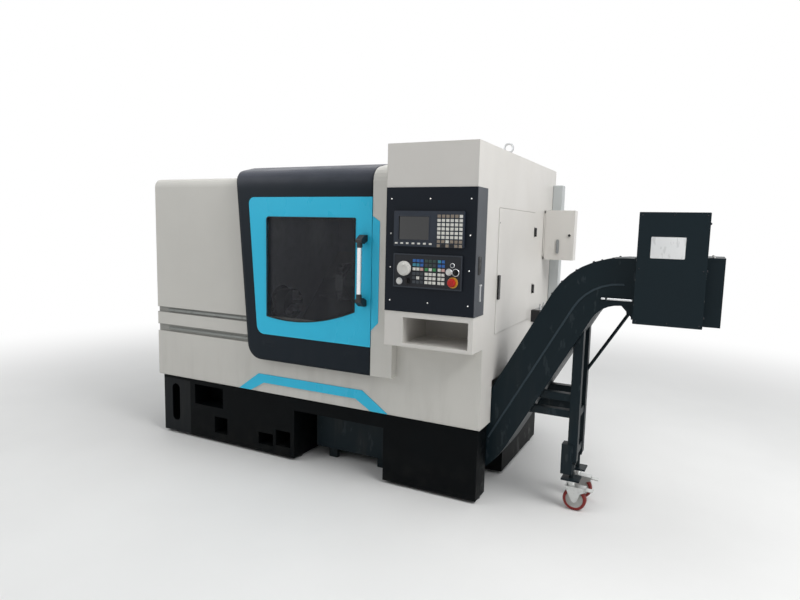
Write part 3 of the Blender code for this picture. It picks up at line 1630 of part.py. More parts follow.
def work_area_liner():
    """Sheet lining of the work area, closed at the ends and the back, its edges following the bed."""
    low, top, back = LINER_LOW, LINER_TOP, BED_BACK + 0.05
    foot = SPINDLE + UPWARD * -(BED_DISTANCE - WAY_HEIGHT - 0.003)
    line = foot.z - foot.y
    outer = [(LINER_FRONT, low), (low - line, low), (back, back + line), (back, top), (LINER_FRONT, top)]
    liner = place("work_area_liner", extruded("YZ", LINER_LEFT, LINER_RIGHT, outer), "grey_paint")
    sheet = LINER_SHEET
    inner = [
        (LINER_FRONT + sheet, low - 0.1),
        (back - sheet, low - 0.1),
        (back - sheet, top + 0.05),
        (LINER_FRONT + sheet, top + 0.05),
    ]
    cut(
        liner,
        extruded("YZ", LINER_LEFT + sheet, LINER_RIGHT - sheet, inner),
        block(
            (LINER_LEFT + 0.06, LINER_FRONT - 0.02, GROOVE_HIGH[1] + 0.01),
            (DOOR_RIGHT, LINER_FRONT + 0.02, top + 0.05),
        ),
        extruded(
            "YZ",
            LINER_LEFT - 0.01,
            LINER_LEFT + 0.01,
            circle((SPINDLE_Y, SPINDLE_Z), LINER_HOLE, FINE_SEGMENTS),
        ),
    )
    return liner


def carriage():
    """Carriage that runs on the two ways, under the cross slide."""
    low = -BED_DISTANCE + WAY_HEIGHT + GAP
    high = low + CARRIAGE_THICKNESS
    half = CARRIAGE_LENGTH / 2
    middle = CARRIAGE_X
    mesh = block(
        (middle - half, CARRIAGE_ALONG - CARRIAGE_HALF, low),
        (middle + half, CARRIAGE_ALONG + CARRIAGE_HALF, high),
    )
    origin = slant_point(middle, CARRIAGE_ALONG, low)
    body = place("carriage", slanted(mesh), "cast_iron", origin)
    tail = 0.025
    for way in (CARRIAGE_ALONG - WAY_SPACING / 2, CARRIAGE_ALONG + WAY_SPACING / 2):
        for side in (-1, 1):
            near = way + side * (WAY_WIDTH / 2 + GAP)
            far = way + side * (WAY_WIDTH / 2 + tail)
            join(
                body,
                slanted(
                    block(
                        (middle - half, min(near, far), low - WAY_HEIGHT + 0.006),
                        (middle + half, max(near, far), low + 0.01),
                    )
                ),
            )
    groove = 0.010
    cut(
        body,
        slanted(
            block(
                (middle - CROSS_WIDTH / 2 - GAP, CARRIAGE_ALONG - CARRIAGE_HALF - 0.01, high - groove),
                (middle + CROSS_WIDTH / 2 + GAP, CARRIAGE_ALONG + CARRIAGE_HALF + 0.01, high + 0.01),
            )
        ),
    )
    return body


def carriage_top():
    return -BED_DISTANCE + WAY_HEIGHT + GAP + CARRIAGE_THICKNESS


def cross_slide():
    """Cross slide that runs up and down the slant in the carriage's groove, with the turret housing."""
    low = carriage_top() - 0.010 + GAP
    high = low + CROSS_THICKNESS
    middle = CARRIAGE_X
    mesh = block(
        (middle - CROSS_WIDTH / 2, TURRET_ALONG - CROSS_HALF, low),
        (middle + CROSS_WIDTH / 2, TURRET_ALONG + CROSS_HALF, high),
    )
    return place("cross_slide", slanted(mesh), "cast_iron", slant_point(middle, TURRET_ALONG, low))


def turret_housing():
    """Housing bolted on the cross slide that carries the turret disc."""
    low = carriage_top() - 0.010 + CROSS_THICKNESS + 2 * GAP
    half = TURRET_BODY / 2
    left = CARRIAGE_X - CROSS_WIDTH / 2 - RUNNING_GAP
    side = rounded(
        [
            (TURRET_ALONG - half, low),
            (TURRET_ALONG + half, low),
            (TURRET_ALONG + half, half),
            (TURRET_ALONG - half, half),
        ],
        [0, 0, 0.045, 0.045],
    )
    housing = place(
        "turret_housing",
        slanted(extruded("YZ", left, left + TURRET_BODY, side)),
        "cast_iron",
        slant_point(left, TURRET_ALONG, low),
    )
    join(
        housing,
        slanted(
            rod(
                (left + TURRET_BODY - 0.01, TURRET_ALONG, 0),
                "X",
                half * 0.62,
                0.05,
                FINE_SEGMENTS,
            ),
        ),
    )
    return housing


def turret_disc():
    """Eight-sided turret disc with a tool block and a square shank on each flat."""
    right = CARRIAGE_X - CROSS_WIDTH / 2 - RUNNING_GAP - GAP
    left = right - TURRET_THICKNESS
    count = TURRET_FLATS
    corner = TURRET_RADIUS / cos(pi / count)
    outline = [
        (
            TURRET_ALONG + corner * cos(2 * pi * (n + 0.5) / count),
            corner * sin(2 * pi * (n + 0.5) / count),
        )
        for n in range(count)
    ]
    disc = place(
        "turret_disc",
        slanted(extruded("YZ", left, right, outline)),
        "steel",
        slant_point(right, TURRET_ALONG, 0),
    )
    hub = slanted(rod((left - 0.012, TURRET_ALONG, 0), "X", TURRET_RADIUS * 0.45, 0.02, FINE_SEGMENTS))
    join(disc, hub)
    for number in range(0, count, 2):
        turn = SLANT_FRAME @ Matrix.Translation((0, TURRET_ALONG, 0)) @ Matrix.Rotation(
            2 * pi * number / count,
            4,
            "X",
        )
        inner = TURRET_RADIUS - 0.006
        tool = block((left + 0.008, -0.030, inner), (right - 0.008, 0.030, TURRET_RADIUS + 0.018))
        shank = block(
            (left + 0.020, -TOOL_SIZE / 2, inner),
            (left + 0.020 + TOOL_SIZE, TOOL_SIZE / 2, TURRET_RADIUS + TOOL_STICK_OUT),
        )
        join(disc, moved(tool, turn), moved(shank, turn))
    return disc


def spindle_motor():
    """Square spindle motor lying on the bed behind the headstock, with its fan cover."""
    half = MOTOR_RADIUS
    seat = -BED_DISTANCE + GAP
    near = HEADSTOCK_HALF + 0.03 + GAP
    side = rounded(
        [
            (near, seat),
            (near + 2 * half, seat),
            (near + 2 * half, seat + 2 * half),
            (near, seat + 2 * half),
        ],
        0.03,
    )
    left = HEADSTOCK_LEFT + 0.02
    motor = place("spindle_motor", slanted(extruded("YZ", left, left + MOTOR_LENGTH, side)), "cast_iron")
    join(
        motor,
        slanted(
            rod(
                (left + MOTOR_LENGTH - 0.01, near + half, seat + half),
                "X",
                half * 0.92,
                0.06,
                FINE_SEGMENTS,
            ),
        ),
        slanted(rod((left - 0.05, near + half, seat + half), "X", half * 0.28, 0.06, SEGMENTS)),
    )
    return motor


def coolant_tank():
    """Open coolant tank under the bed, drawn out at the back, where its pump stands."""
    low, high = TANK_LIFT, TANK_LIFT + TANK_HEIGHT
    wall = TANK_WALL
    tank = place(
        "coolant_tank", block((TANK_LEFT, TANK_FRONT, low), (TANK_RIGHT, TANK_BACK, high)), "base_black"
    )
    cut(
        tank,
        block(
            (TANK_LEFT + wall, TANK_FRONT + wall, low + wall),
            (TANK_RIGHT - wall, BASE_BACK, high + 0.05),
        ),
    )
    for x in (TANK_LEFT + 0.05, TANK_RIGHT - 0.05):
        for y in (TANK_FRONT + 0.05, TANK_BACK - 0.05):
            join(tank, rod((x, y, 0), "Z", 0.02, low + 0.001, 12))
    return tank


def coolant_pump():
    """Pump motor standing on the tank, its delivery pipe flanged to the rear cover."""
    low = TANK_LIFT + TANK_HEIGHT + GAP
    x = TANK_LEFT + 0.16
    y = (ENCLOSURE_DEPTH + TANK_BACK) / 2 + 0.004
    r = PUMP_RADIUS
    profile = [
        (0, 0.235),
        (r * 0.6, 0.235),
        (r * 0.9, 0.225),
        (r * 0.9, 0.10),
        (r * 0.7, 0.095),
        (r * 0.7, 0.012),
        (r, 0.010),
        (r, 0),
        (0, 0),
    ]
    pump = place("coolant_pump", turned(profile, (x, y, low), "Z", SEGMENTS), "cyan_paint")
    start = ENCLOSURE_DEPTH + GAP
    join(
        pump,
        rod((x, start, PIPE_HEIGHT), "Y", PIPE_RADIUS, y - start, 12),
        rod((x, start, PIPE_HEIGHT), "Y", PIPE_RADIUS * 1.8, PLATE, 12),
    )
    return pump


def bend_angles(turn, steps=6):
    return [turn * number / steps for number in range(steps + 1)]


def conveyor_line(offset):
    """One edge of the conveyor body seen from the side, its distance above the middle line given."""
    angle = CONVEYOR_ANGLE
    middle_top = CONVEYOR_TOP - CONVEYOR_DEPTH / 2
    centre = Vector((CONVEYOR_BEND_X, middle_top - CONVEYOR_BEND_RADIUS))
    radius = CONVEYOR_BEND_RADIUS + offset
    head = [(CONVEYOR_END, middle_top + offset)]
    upper = [
        (centre.x - radius * sin(turn), centre.y + radius * cos(turn)) for turn in bend_angles(angle)
    ]
    middle_low = CONVEYOR_FLOOR + CONVEYOR_DEPTH / 2
    foot_height = middle_low + CONVEYOR_FOOT_RADIUS
    incline_start = centre + Vector((-sin(angle), cos(angle))) * CONVEYOR_BEND_RADIUS
    rise = incline_start.y - (foot_height - CONVEYOR_FOOT_RADIUS * cos(angle))
    foot_end = incline_start.x - rise / tan(angle)
    foot_x = foot_end - CONVEYOR_FOOT_RADIUS * sin(angle)
    small = CONVEYOR_FOOT_RADIUS - offset
    lower = [
        (foot_x + small * sin(turn), foot_height - small * cos(turn))
        for turn in reversed(bend_angles(angle))
    ]
    return head + upper + lower + [(CONVEYOR_TAIL, middle_low + offset)]


def conveyor_outline(grow=0.0):
    half = CONVEYOR_DEPTH / 2 + grow
    return conveyor_line(half) + conveyor_line(-half)[::-1]


def conveyor_body():
    """Closed trough that runs level under the bed, climbs, and turns level into the head."""
    body = place(
        "conveyor_body",
        extruded("XZ", CONVEYOR_FRONT, CONVEYOR_BACK, conveyor_outline()),
        "conveyor_paint",
    )
    middle = SEAM_SHIFT
    seam = conveyor_line(middle + SEAM_WIDTH / 2)[:9] + conveyor_line(middle - SEAM_WIDTH / 2)[:9][::-1]
    seam = [(min(x, CONVEYOR_END - SEAM_STOP), z) for x, z in seam]
    join(body, extruded("XZ", CONVEYOR_FRONT - SEAM_RISE, CONVEYOR_FRONT + 0.002, seam))
    join(
        body,
        block(
            (CONVEYOR_END - FLANGE_WIDTH, CONVEYOR_FRONT - FLANGE_RISE, HEAD_LOW + 0.009),
            (CONVEYOR_END, CONVEYOR_BACK + FLANGE_RISE, CONVEYOR_TOP + 0.004),
        ),
    )
    under = CONVEYOR_TOP - CONVEYOR_DEPTH
    corners = [(CONVEYOR_BEND_X + x, under + z) for x, z in GUSSET]
    top = under + SHEET
    join(
        body,
        extruded(
            "XZ",
            CONVEYOR_FRONT + SHEET,
            LEG_BACK_Y - BAR_SIZE,
            [(corners[0][0], top), *corners, (corners[-1][0], top)],
        ),
    )
    length, width = SKID_SIZE
    for x in SKID_XS:
        for y in (CONVEYOR_FRONT + width, CONVEYOR_BACK - 2 * width):
            join(body, block((x, y, 0), (x + length, y + width, CONVEYOR_FLOOR + SHEET)))
    return body


def conveyor_head():
    """Discharge head, open underneath, with a flanged cover on top."""
    left, right = CONVEYOR_END + GAP, HEAD_RIGHT
    front, back = CONVEYOR_FRONT, CONVEYOR_BACK
    head = place(
        "conveyor_head",
        extruded(
            "XZ",
            front,
            back,
            rounded(
                [(left, HEAD_LOW), (right, HEAD_LOW), (right, HEAD_HIGH), (left, HEAD_HIGH)],
                [0, 0, 0.012, 0],
            ),
        ),
        "conveyor_paint",
    )
    wall = HEAD_WALL
    cut(
        head,
        block(
            (MOUTH_LEFT, front + wall, HEAD_LOW - 0.02),
            (right - wall, back - wall, HEAD_HIGH - 2 * wall),
        ),
    )
    lid_low = (left + 0.02, front - LID_PROUD, HEAD_HIGH - 0.010)
    join(head, block(lid_low, (right, back + LID_LAP, HEAD_HIGH + SHEET)))
    return head


def conveyor_guard():
    """Drive guard on the front of the head: a closed box with returned edges."""
    low, high = (GUARD_LEFT, GUARD_LOW), (GUARD_RIGHT, GUARD_HIGH)
    back = CONVEYOR_FRONT - LID_PROUD - GAP
    guard = place(
        "drive_guard",
        extruded("XZ", GUARD_FRONT, back, rectangle(low, high, 0.004)),
        "conveyor_paint",
    )
    return guard


def gear_motor():
    """Gear motor on the back of the head."""
    start = CONVEYOR_BACK + FLANGE_RISE + GAP
    box = place(
        "gear_motor",
        extruded(
            "XZ",
            start,
            start + 0.085,
            rectangle(
                (GEAR_MOTOR_X - 0.07, GEAR_MOTOR_Z - 0.07),
                (GEAR_MOTOR_X + 0.07, GEAR_MOTOR_Z + 0.07),
                0.02,
            ),
        ),
        "grey_paint",
    )
    profile = [
        (0, 0.26),
        (0.050, 0.26),
        (0.058, 0.25),
        (0.058, 0.19),
        (0.052, 0.188),
        (0.052, 0.08),
        (0, 0.08),
    ]
    join(
        box,
        turned(profile, (GEAR_MOTOR_X, start, GEAR_MOTOR_Z), "Y", SEGMENTS),
        rod((GEAR_MOTOR_X, CONVEYOR_BACK + GAP, GEAR_MOTOR_Z), "Y", 0.045, FLANGE_RISE + 0.02, SEGMENTS),
    )
    return box


def tension_screw(body):
    """Belt tension screw and its lug, standing on the front of the trough by the head flange."""
    y = CONVEYOR_FRONT - FLANGE_RISE / 2
    lug = TENSION_LEFT + 0.020
    join(
        body,
        rod(
            (TENSION_LEFT, y, TENSION_Z),
            "X",
            TENSION_ROD,
            CONVEYOR_END - FLANGE_WIDTH / 2 - TENSION_LEFT,
            12,
        ),
        block(
            (lug, y - 0.008, TENSION_Z - 0.012),
            (lug + 0.008, CONVEYOR_FRONT + 0.002, TENSION_Z + 0.012),
        ),
    )


def conveyor_stand():
    """Two legs under the climbing part, braced to it by pairs of bars, with adjustable feet."""
    half = LEG_SIZE / 2
    bar = BAR_SIZE / 2
    ys = (LEG_FRONT_Y, LEG_BACK_Y)
    stand = place(
        "conveyor_stand",
        block((LEG_X - half, ys[0] - half, LEG_BOTTOM), (LEG_X + half, ys[0] + half, LEG_TOP)),
        "conveyor_paint",
    )
    join(
        stand,
        block(
            (LEG_X - half, ys[1] - half, LEG_BOTTOM),
            (LEG_X + half, ys[1] + half, LEG_TOP),
        ),
    )
    for y in ys:
        for height in BAR_HEIGHTS:
            join(stand, block((LEG_X - 0.30, y - bar, height - bar), (LEG_X, y + bar, height + bar)))
    for height in (BAR_HEIGHTS[1] - 0.002, LEG_BOTTOM + 0.05):
        join(stand, block((LEG_X - bar, ys[0], height - bar), (LEG_X + bar, ys[1], height + bar)))
    for y in ys:
        join(stand, rod((LEG_X, y, POST_BOTTOM), "Z", POST_RADIUS, LEG_BOTTOM - POST_BOTTOM + 0.01, 16))
        join(stand, rod((LEG_X, y, LEG_BOTTOM - 0.018), "Z", POST_RADIUS * 1.9, 0.010, 6))
        join(
            stand,
            block(
                (LEG_X - FOOT_PLATE / 2, y - FOOT_PLATE / 2 + 0.004, POST_BOTTOM - CASTER_PLATE),
                (LEG_X + FOOT_PLATE / 2, y + FOOT_PLATE / 2 - 0.004, POST_BOTTOM + 0.001),
            ),
        )
    (left, low), (right, high) = LEG_SLEEVE
    front = ys[0] - half - PLATE
    join(stand, block((LEG_X + left, front, low), (LEG_X + right, ys[0] + half + PLATE, high)))
    slot = conveyor_outline(GAP)
    slot_solid = extruded("XZ", CONVEYOR_FRONT - 0.1, CONVEYOR_BACK + 0.1, slot)
    cut(stand, slot_solid)
    cut(stand, extruded("XZ", CONVEYOR_FRONT - 0.1, CONVEYOR_BACK + 0.1, above_incline()))
    return stand


def above_incline():
    """Everything on the upper side of the conveyor's middle line, as a cutter's outline."""
    line = conveyor_line(0.0)
    start, end = Vector(line[7]), Vector(line[8])
    along = (start - end).normalized()
    away = Vector((-along.y, along.x))
    low, high = end - along * 0.2, start + along * 0.4
    return [tuple(low), tuple(high), tuple(high + away * 0.6), tuple(low + away * 0.6)]


def stand_strut(stand):
    """Thin rear strut from under the head down to the back leg."""
    start = Vector((STRUT_TOP[0], LEG_BACK_Y, STRUT_TOP[1]))
    end = Vector((LEG_X, LEG_BACK_Y, STRUT_FOOT_HEIGHT - 0.08))
    curve = bpy.data.curves.new("strut", "CURVE")
    curve.dimensions = "3D"
    curve.bevel_depth = STRUT_RADIUS
    curve.bevel_resolution = 1
    curve.use_fill_caps = True
    spline = curve.splines.new("POLY")
    spline.points.add(1)
    for point, place_at in zip(spline.points, (start, end)):
        point.co = (*place_at, 1)
    guide = bpy.data.objects.new("strut", curve)
    bpy.context.scene.collection.objects.link(guide)
    graph = bpy.context.evaluated_depsgraph_get()
    mesh = bpy.data.meshes.new_from_object(guide.evaluated_get(graph))
    bpy.data.objects.remove(guide)
    shape = bmesh.new()
    shape.from_mesh(mesh)
    bmesh.ops.remove_doubles(shape, verts=shape.verts, dist=0.00001)
    bmesh.ops.recalc_face_normals(shape, faces=shape.faces)
    under = CONVEYOR_TOP - CONVEYOR_DEPTH - GAP
    join(
        stand,
        mesh_of(shape),
        block(
            (start.x - 0.02, LEG_BACK_Y - 0.014, start.z - 0.012),
            (start.x + 0.02, LEG_BACK_Y + 0.014, under),
        ),
    )


def caster(tag, y):
    """Brake caster: swivelling fork, wheel and pedal."""
    swivel = (LEG_X, y, POST_BOTTOM - CASTER_PLATE - GAP)
    axle = (LEG_X + CASTER_TRAIL, y, WHEEL_RADIUS)
    top = swivel[2]
    crown = WHEEL_RADIUS * 2 + 0.006
    fork = place(
        f"caster_fork_{tag}",
        block(
            (LEG_X - 0.030, y - FORK_HALF - FORK_SHEET, crown),
            (LEG_X + FORK_REACH, y + FORK_HALF + FORK_SHEET, crown + FORK_SHEET),
        ),
        "steel",
        swivel,
    )
    profile = [(0, top), (0.026, top), (0.026, top - 0.008), (0.020, crown + 0.002), (0, crown + 0.002)]
    join(fork, turned(profile, (LEG_X, y, 0), "Z", 20))
    for side in (-1, 1):
        near, far = y + side * FORK_HALF, y + side * (FORK_HALF + FORK_SHEET)
        cheek = [
            (LEG_X - 0.030, crown + FORK_SHEET),
            (axle[0] - 0.014, axle[2] - 0.006),
            (axle[0], axle[2] - 0.016),
            (axle[0] + 0.014, axle[2] - 0.006),
            (axle[0] + 0.030, crown - 0.030),
            (LEG_X + FORK_REACH, crown - 0.016),
            (LEG_X + FORK_REACH, crown + FORK_SHEET),
        ]
        join(fork, extruded("XZ", min(near, far), max(near, far), cheek))
    join(
        fork,
        rod(
            (axle[0], y - FORK_HALF - FORK_SHEET - 0.004, axle[2]),
            "Y",
            0.006,
            2 * (FORK_HALF + FORK_SHEET) + 0.008,
            12,
        ),
    )
    half = WHEEL_WIDTH / 2
    r = WHEEL_RADIUS
    bore = 0.006 + GAP
    hub = FORK_HALF - GAP
    side_profile = [
        (bore, hub),
        (0.016, hub),
        (0.018, half - 0.006),
        (r - 0.020, half - 0.006),
        (r - 0.016, half - 0.001),
        (r - 0.005, half),
        (r, half - 0.007),
    ]
    profile = side_profile + [(radius, -height) for radius, height in side_profile[::-1]] + [
        side_profile[0],
    ]
    place(f"caster_wheel_{tag}", turned(profile, axle, "Y", FINE_SEGMENTS), "red_rubber", axle)
    pivot = (LEG_X + FORK_REACH - 0.008, y, crown - 0.008)
    pedal = place(
        f"brake_pedal_{tag}",
        block(
            (pivot[0] + 0.002, y - 0.019, pivot[2] - 0.002),
            (pivot[0] + 0.046, y + 0.019, pivot[2] + 0.003),
        ),
        "steel",
        pivot,
    )
    join(pedal, rod((pivot[0], y - FORK_HALF + GAP, pivot[2]), "Y", 0.005, 2 * (FORK_HALF - GAP), 12))
    return fork


def set_datum():
    """Puts the middle of the machine's footprint at the world origin."""
    crank = operator_face() - HANDWHEEL_HEIGHT - CRANK_RISE
    DATUM.location = (-HEAD_RIGHT / 2, -(crank + CABINET_DEPTH) / 2, 0)


def build():
    set_datum()
    left_cover()
    front_frame()
    front_skirt()
    skirt_stripe()
    roof_and_rear()
    door_rails()
    door_shell()
    door_panel()
    door_window()
    door_handle()
    door_pillar()
    hinge_brackets(control_cabinet())
    fascia()
    cnc_unit()
    button_seats(operator_panel())
    handwheel()
    pointer_knob("override_knob", OVERRIDE_PLACE)
    pointer_knob("mode_selector", SELECTOR_PLACE)
    push_button("start_button", START_PLACE)
    push_button("stop_button", STOP_PLACE)
    emergency_stop()
    electrical_door()
    door_latch()
    electrical_plate()
    side_box()
    rear_duct()
    fluid_manifold()
    eye_bolt()
    base_frame()
    base_end_panel()
    slant_bed()
    headstock()
    spindle()
    chuck()
    work_area_liner()
    carriage()
    cross_slide()
    turret_housing()
    turret_disc()
    spindle_motor()
    coolant_tank()
    coolant_pump()
    tension_screw(conveyor_body())
    conveyor_head()
    conveyor_guard()
    gear_motor()
    stand_strut(conveyor_stand())
    caster("front", LEG_FRONT_Y)
    caster("back", LEG_BACK_Y)


build()
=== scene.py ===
"""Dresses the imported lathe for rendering: sheet metal, glass, controls, fasteners and stage."""

import json
from math import cos, pi, radians, sin, sqrt

import bmesh
import bpy
from mathutils import Matrix, Vector

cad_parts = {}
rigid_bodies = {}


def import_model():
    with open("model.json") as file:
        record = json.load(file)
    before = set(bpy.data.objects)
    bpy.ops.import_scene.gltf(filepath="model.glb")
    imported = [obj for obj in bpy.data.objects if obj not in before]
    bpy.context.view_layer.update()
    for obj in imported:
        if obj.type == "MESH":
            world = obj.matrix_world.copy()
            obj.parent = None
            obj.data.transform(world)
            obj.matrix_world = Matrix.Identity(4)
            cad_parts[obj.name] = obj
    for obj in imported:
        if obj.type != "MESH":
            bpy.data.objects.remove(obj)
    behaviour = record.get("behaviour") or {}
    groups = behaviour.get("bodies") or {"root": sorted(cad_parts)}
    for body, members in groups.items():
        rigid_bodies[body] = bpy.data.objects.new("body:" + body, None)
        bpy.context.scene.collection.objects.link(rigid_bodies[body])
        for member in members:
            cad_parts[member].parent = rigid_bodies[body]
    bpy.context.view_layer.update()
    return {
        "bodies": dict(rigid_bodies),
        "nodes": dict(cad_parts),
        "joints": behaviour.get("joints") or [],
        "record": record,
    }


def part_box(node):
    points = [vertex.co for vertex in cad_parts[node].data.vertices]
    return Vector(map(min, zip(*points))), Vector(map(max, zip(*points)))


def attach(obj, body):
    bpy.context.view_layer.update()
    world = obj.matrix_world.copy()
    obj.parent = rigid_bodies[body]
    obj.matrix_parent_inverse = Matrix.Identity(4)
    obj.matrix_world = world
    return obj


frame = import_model()

bl_info = {
    "name": "Turning Lathe Finish",
    "version": (1, 0, 0),
    "blender": (4, 5, 0),
    "location": "View3D > Sidebar > Lathe",
    "description": "Finishes a turning lathe with its chip conveyor and puts it on a plain stage",
    "category": "Object",
}

NODES = frame["nodes"]

# The machine's own datum, its front left corner on the floor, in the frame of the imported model
DATUM = Vector((-1.745, -0.65005, 0.0))
UP = Vector((0, 0, 1))
RIGHT = Vector((1, 0, 0))
BACK = Vector((0, 1, 0))
FRONT = -BACK


def srgb(red, green, blue):
    """A linear colour from the three 0 to 255 numbers that a colour picker shows."""
    whole = (red / 255, green / 255, blue / 255)
    linear = [c / 12.92 if c <= 0.04045 else ((c + 0.055) / 1.055) ** 2.4 for c in whole]
    return (*linear, 1.0)


BODY_PAINT = srgb(206, 204, 198)
CABINET_PAINT = srgb(214, 211, 206)
HOOD_PAINT = srgb(20, 29, 37)
STRIPE_PAINT = srgb(48, 192, 230)
FASCIA_PAINT = srgb(19, 25, 33)
CONVEYOR_PAINT = srgb(14, 28, 34)
BASE_PAINT = srgb(6, 9, 11)


def colour_property(name, description, default):
    return bpy.props.FloatVectorProperty(
        name=name, description=description, default=default, size=4, min=0, max=1, subtype="COLOR"
    )


def size_property(name, description, default, unit="LENGTH"):
    return bpy.props.FloatProperty(name=name, description=description, default=default, min=0, unit=unit)


class PaintSettings(bpy.types.PropertyGroup):
    """Colours of the painted sheet metal."""

    body: colour_property("Body", "Paint of the enclosure", BODY_PAINT)
    cabinet: colour_property("Cabinet", "Paint of the control cabinet", CABINET_PAINT)
    hood: colour_property("Hood", "Paint of the sliding door and its hood", HOOD_PAINT)
    stripe: colour_property("Stripe", "Paint of the coloured panels", STRIPE_PAINT)
    fascia: colour_property("Fascia", "Paint of the control fascia", FASCIA_PAINT)
    conveyor: colour_property("Conveyor", "Paint of the chip conveyor", CONVEYOR_PAINT)
    base: colour_property("Base", "Paint of the base frame", BASE_PAINT)


class FastenerSettings(bpy.types.PropertyGroup):
    """Sizes of the screws that hold the covers."""

    panel_screw: size_property("Panel screw", "Head width of the screws in the fascia", 0.0085)
    cover_screw: size_property("Cover screw", "Head width of the screws in the covers", 0.011)
    bolt: size_property("Bolt", "Width over the head of the conveyor's bolts", 0.014)
    key: size_property("Key", "Width of a keycap", 0.0166)
    seed: bpy.props.IntProperty(name="Seed", description="Seed of each head's turn", default=7, min=0)


class StageSettings(bpy.types.PropertyGroup):
    """Camera, floor and lamps."""

    lens: size_property("Lens", "Focal length of the camera", 26.8, "CAMERA")
    floor: colour_property("Floor", "Colour of the floor", (0.80, 0.80, 0.79, 1.0))
    key_power: size_property("Key", "Power of the key lamp", 184.0, "POWER")
    fill_power: size_property("Fill", "Power of the fill lamp", 45.0, "POWER")
    top_power: size_property("Top", "Power of the overhead lamp", 90.0, "POWER")
    world: size_property("Sky", "Strength of the even light", 0.38, "NONE")


class Value:
    """A number, colour or vector in a node tree. Arithmetic on a number adds Math nodes."""

    def __init__(self, owner, socket):
        self.owner = owner
        self.socket = socket

    def __add__(self, other):
        return self.owner.math("ADD", self, other)

    def __sub__(self, other):
        return self.owner.math("SUBTRACT", self, other)

    def __rsub__(self, other):
        return self.owner.math("SUBTRACT", other, self)

    def __mul__(self, other):
        return self.owner.math("MULTIPLY", self, other)

    __radd__ = __add__
    __rmul__ = __mul__


class Tree:
    """A node tree, with one method that adds a node to it."""

    def __init__(self, tree):
        self.tree = tree

    def feed(self, socket, value):
        if isinstance(value, Value):
            self.tree.links.new(value.socket, socket)
        else:
            socket.default_value = value

    def node(self, kind, settings=None, inputs=None, output=0):
        """Adds a node, sets it up, feeds its sockets and gives one of its outputs."""
        made = self.tree.nodes.new(kind)
        for name, value in (settings or {}).items():
            setattr(made, name, value)
        for name, value in (inputs or {}).items():
            self.feed(made.inputs[name], value)
        return Value(self, made.outputs[output])

    def math(self, operation, *values):
        return self.node("ShaderNodeMath", {"operation": operation}, dict(enumerate(values)))

    def backdrop_rays(self):
        """1 for the rays that show the backdrop: those of the camera, off gloss and through glass."""
        shown = self.node("ShaderNodeLightPath", output="Is Camera Ray")
        for name in ("Is Glossy Ray", "Is Transmission Ray"):
            shown = self.math("MAXIMUM", shown, self.node("ShaderNodeLightPath", output=name))
        return shown


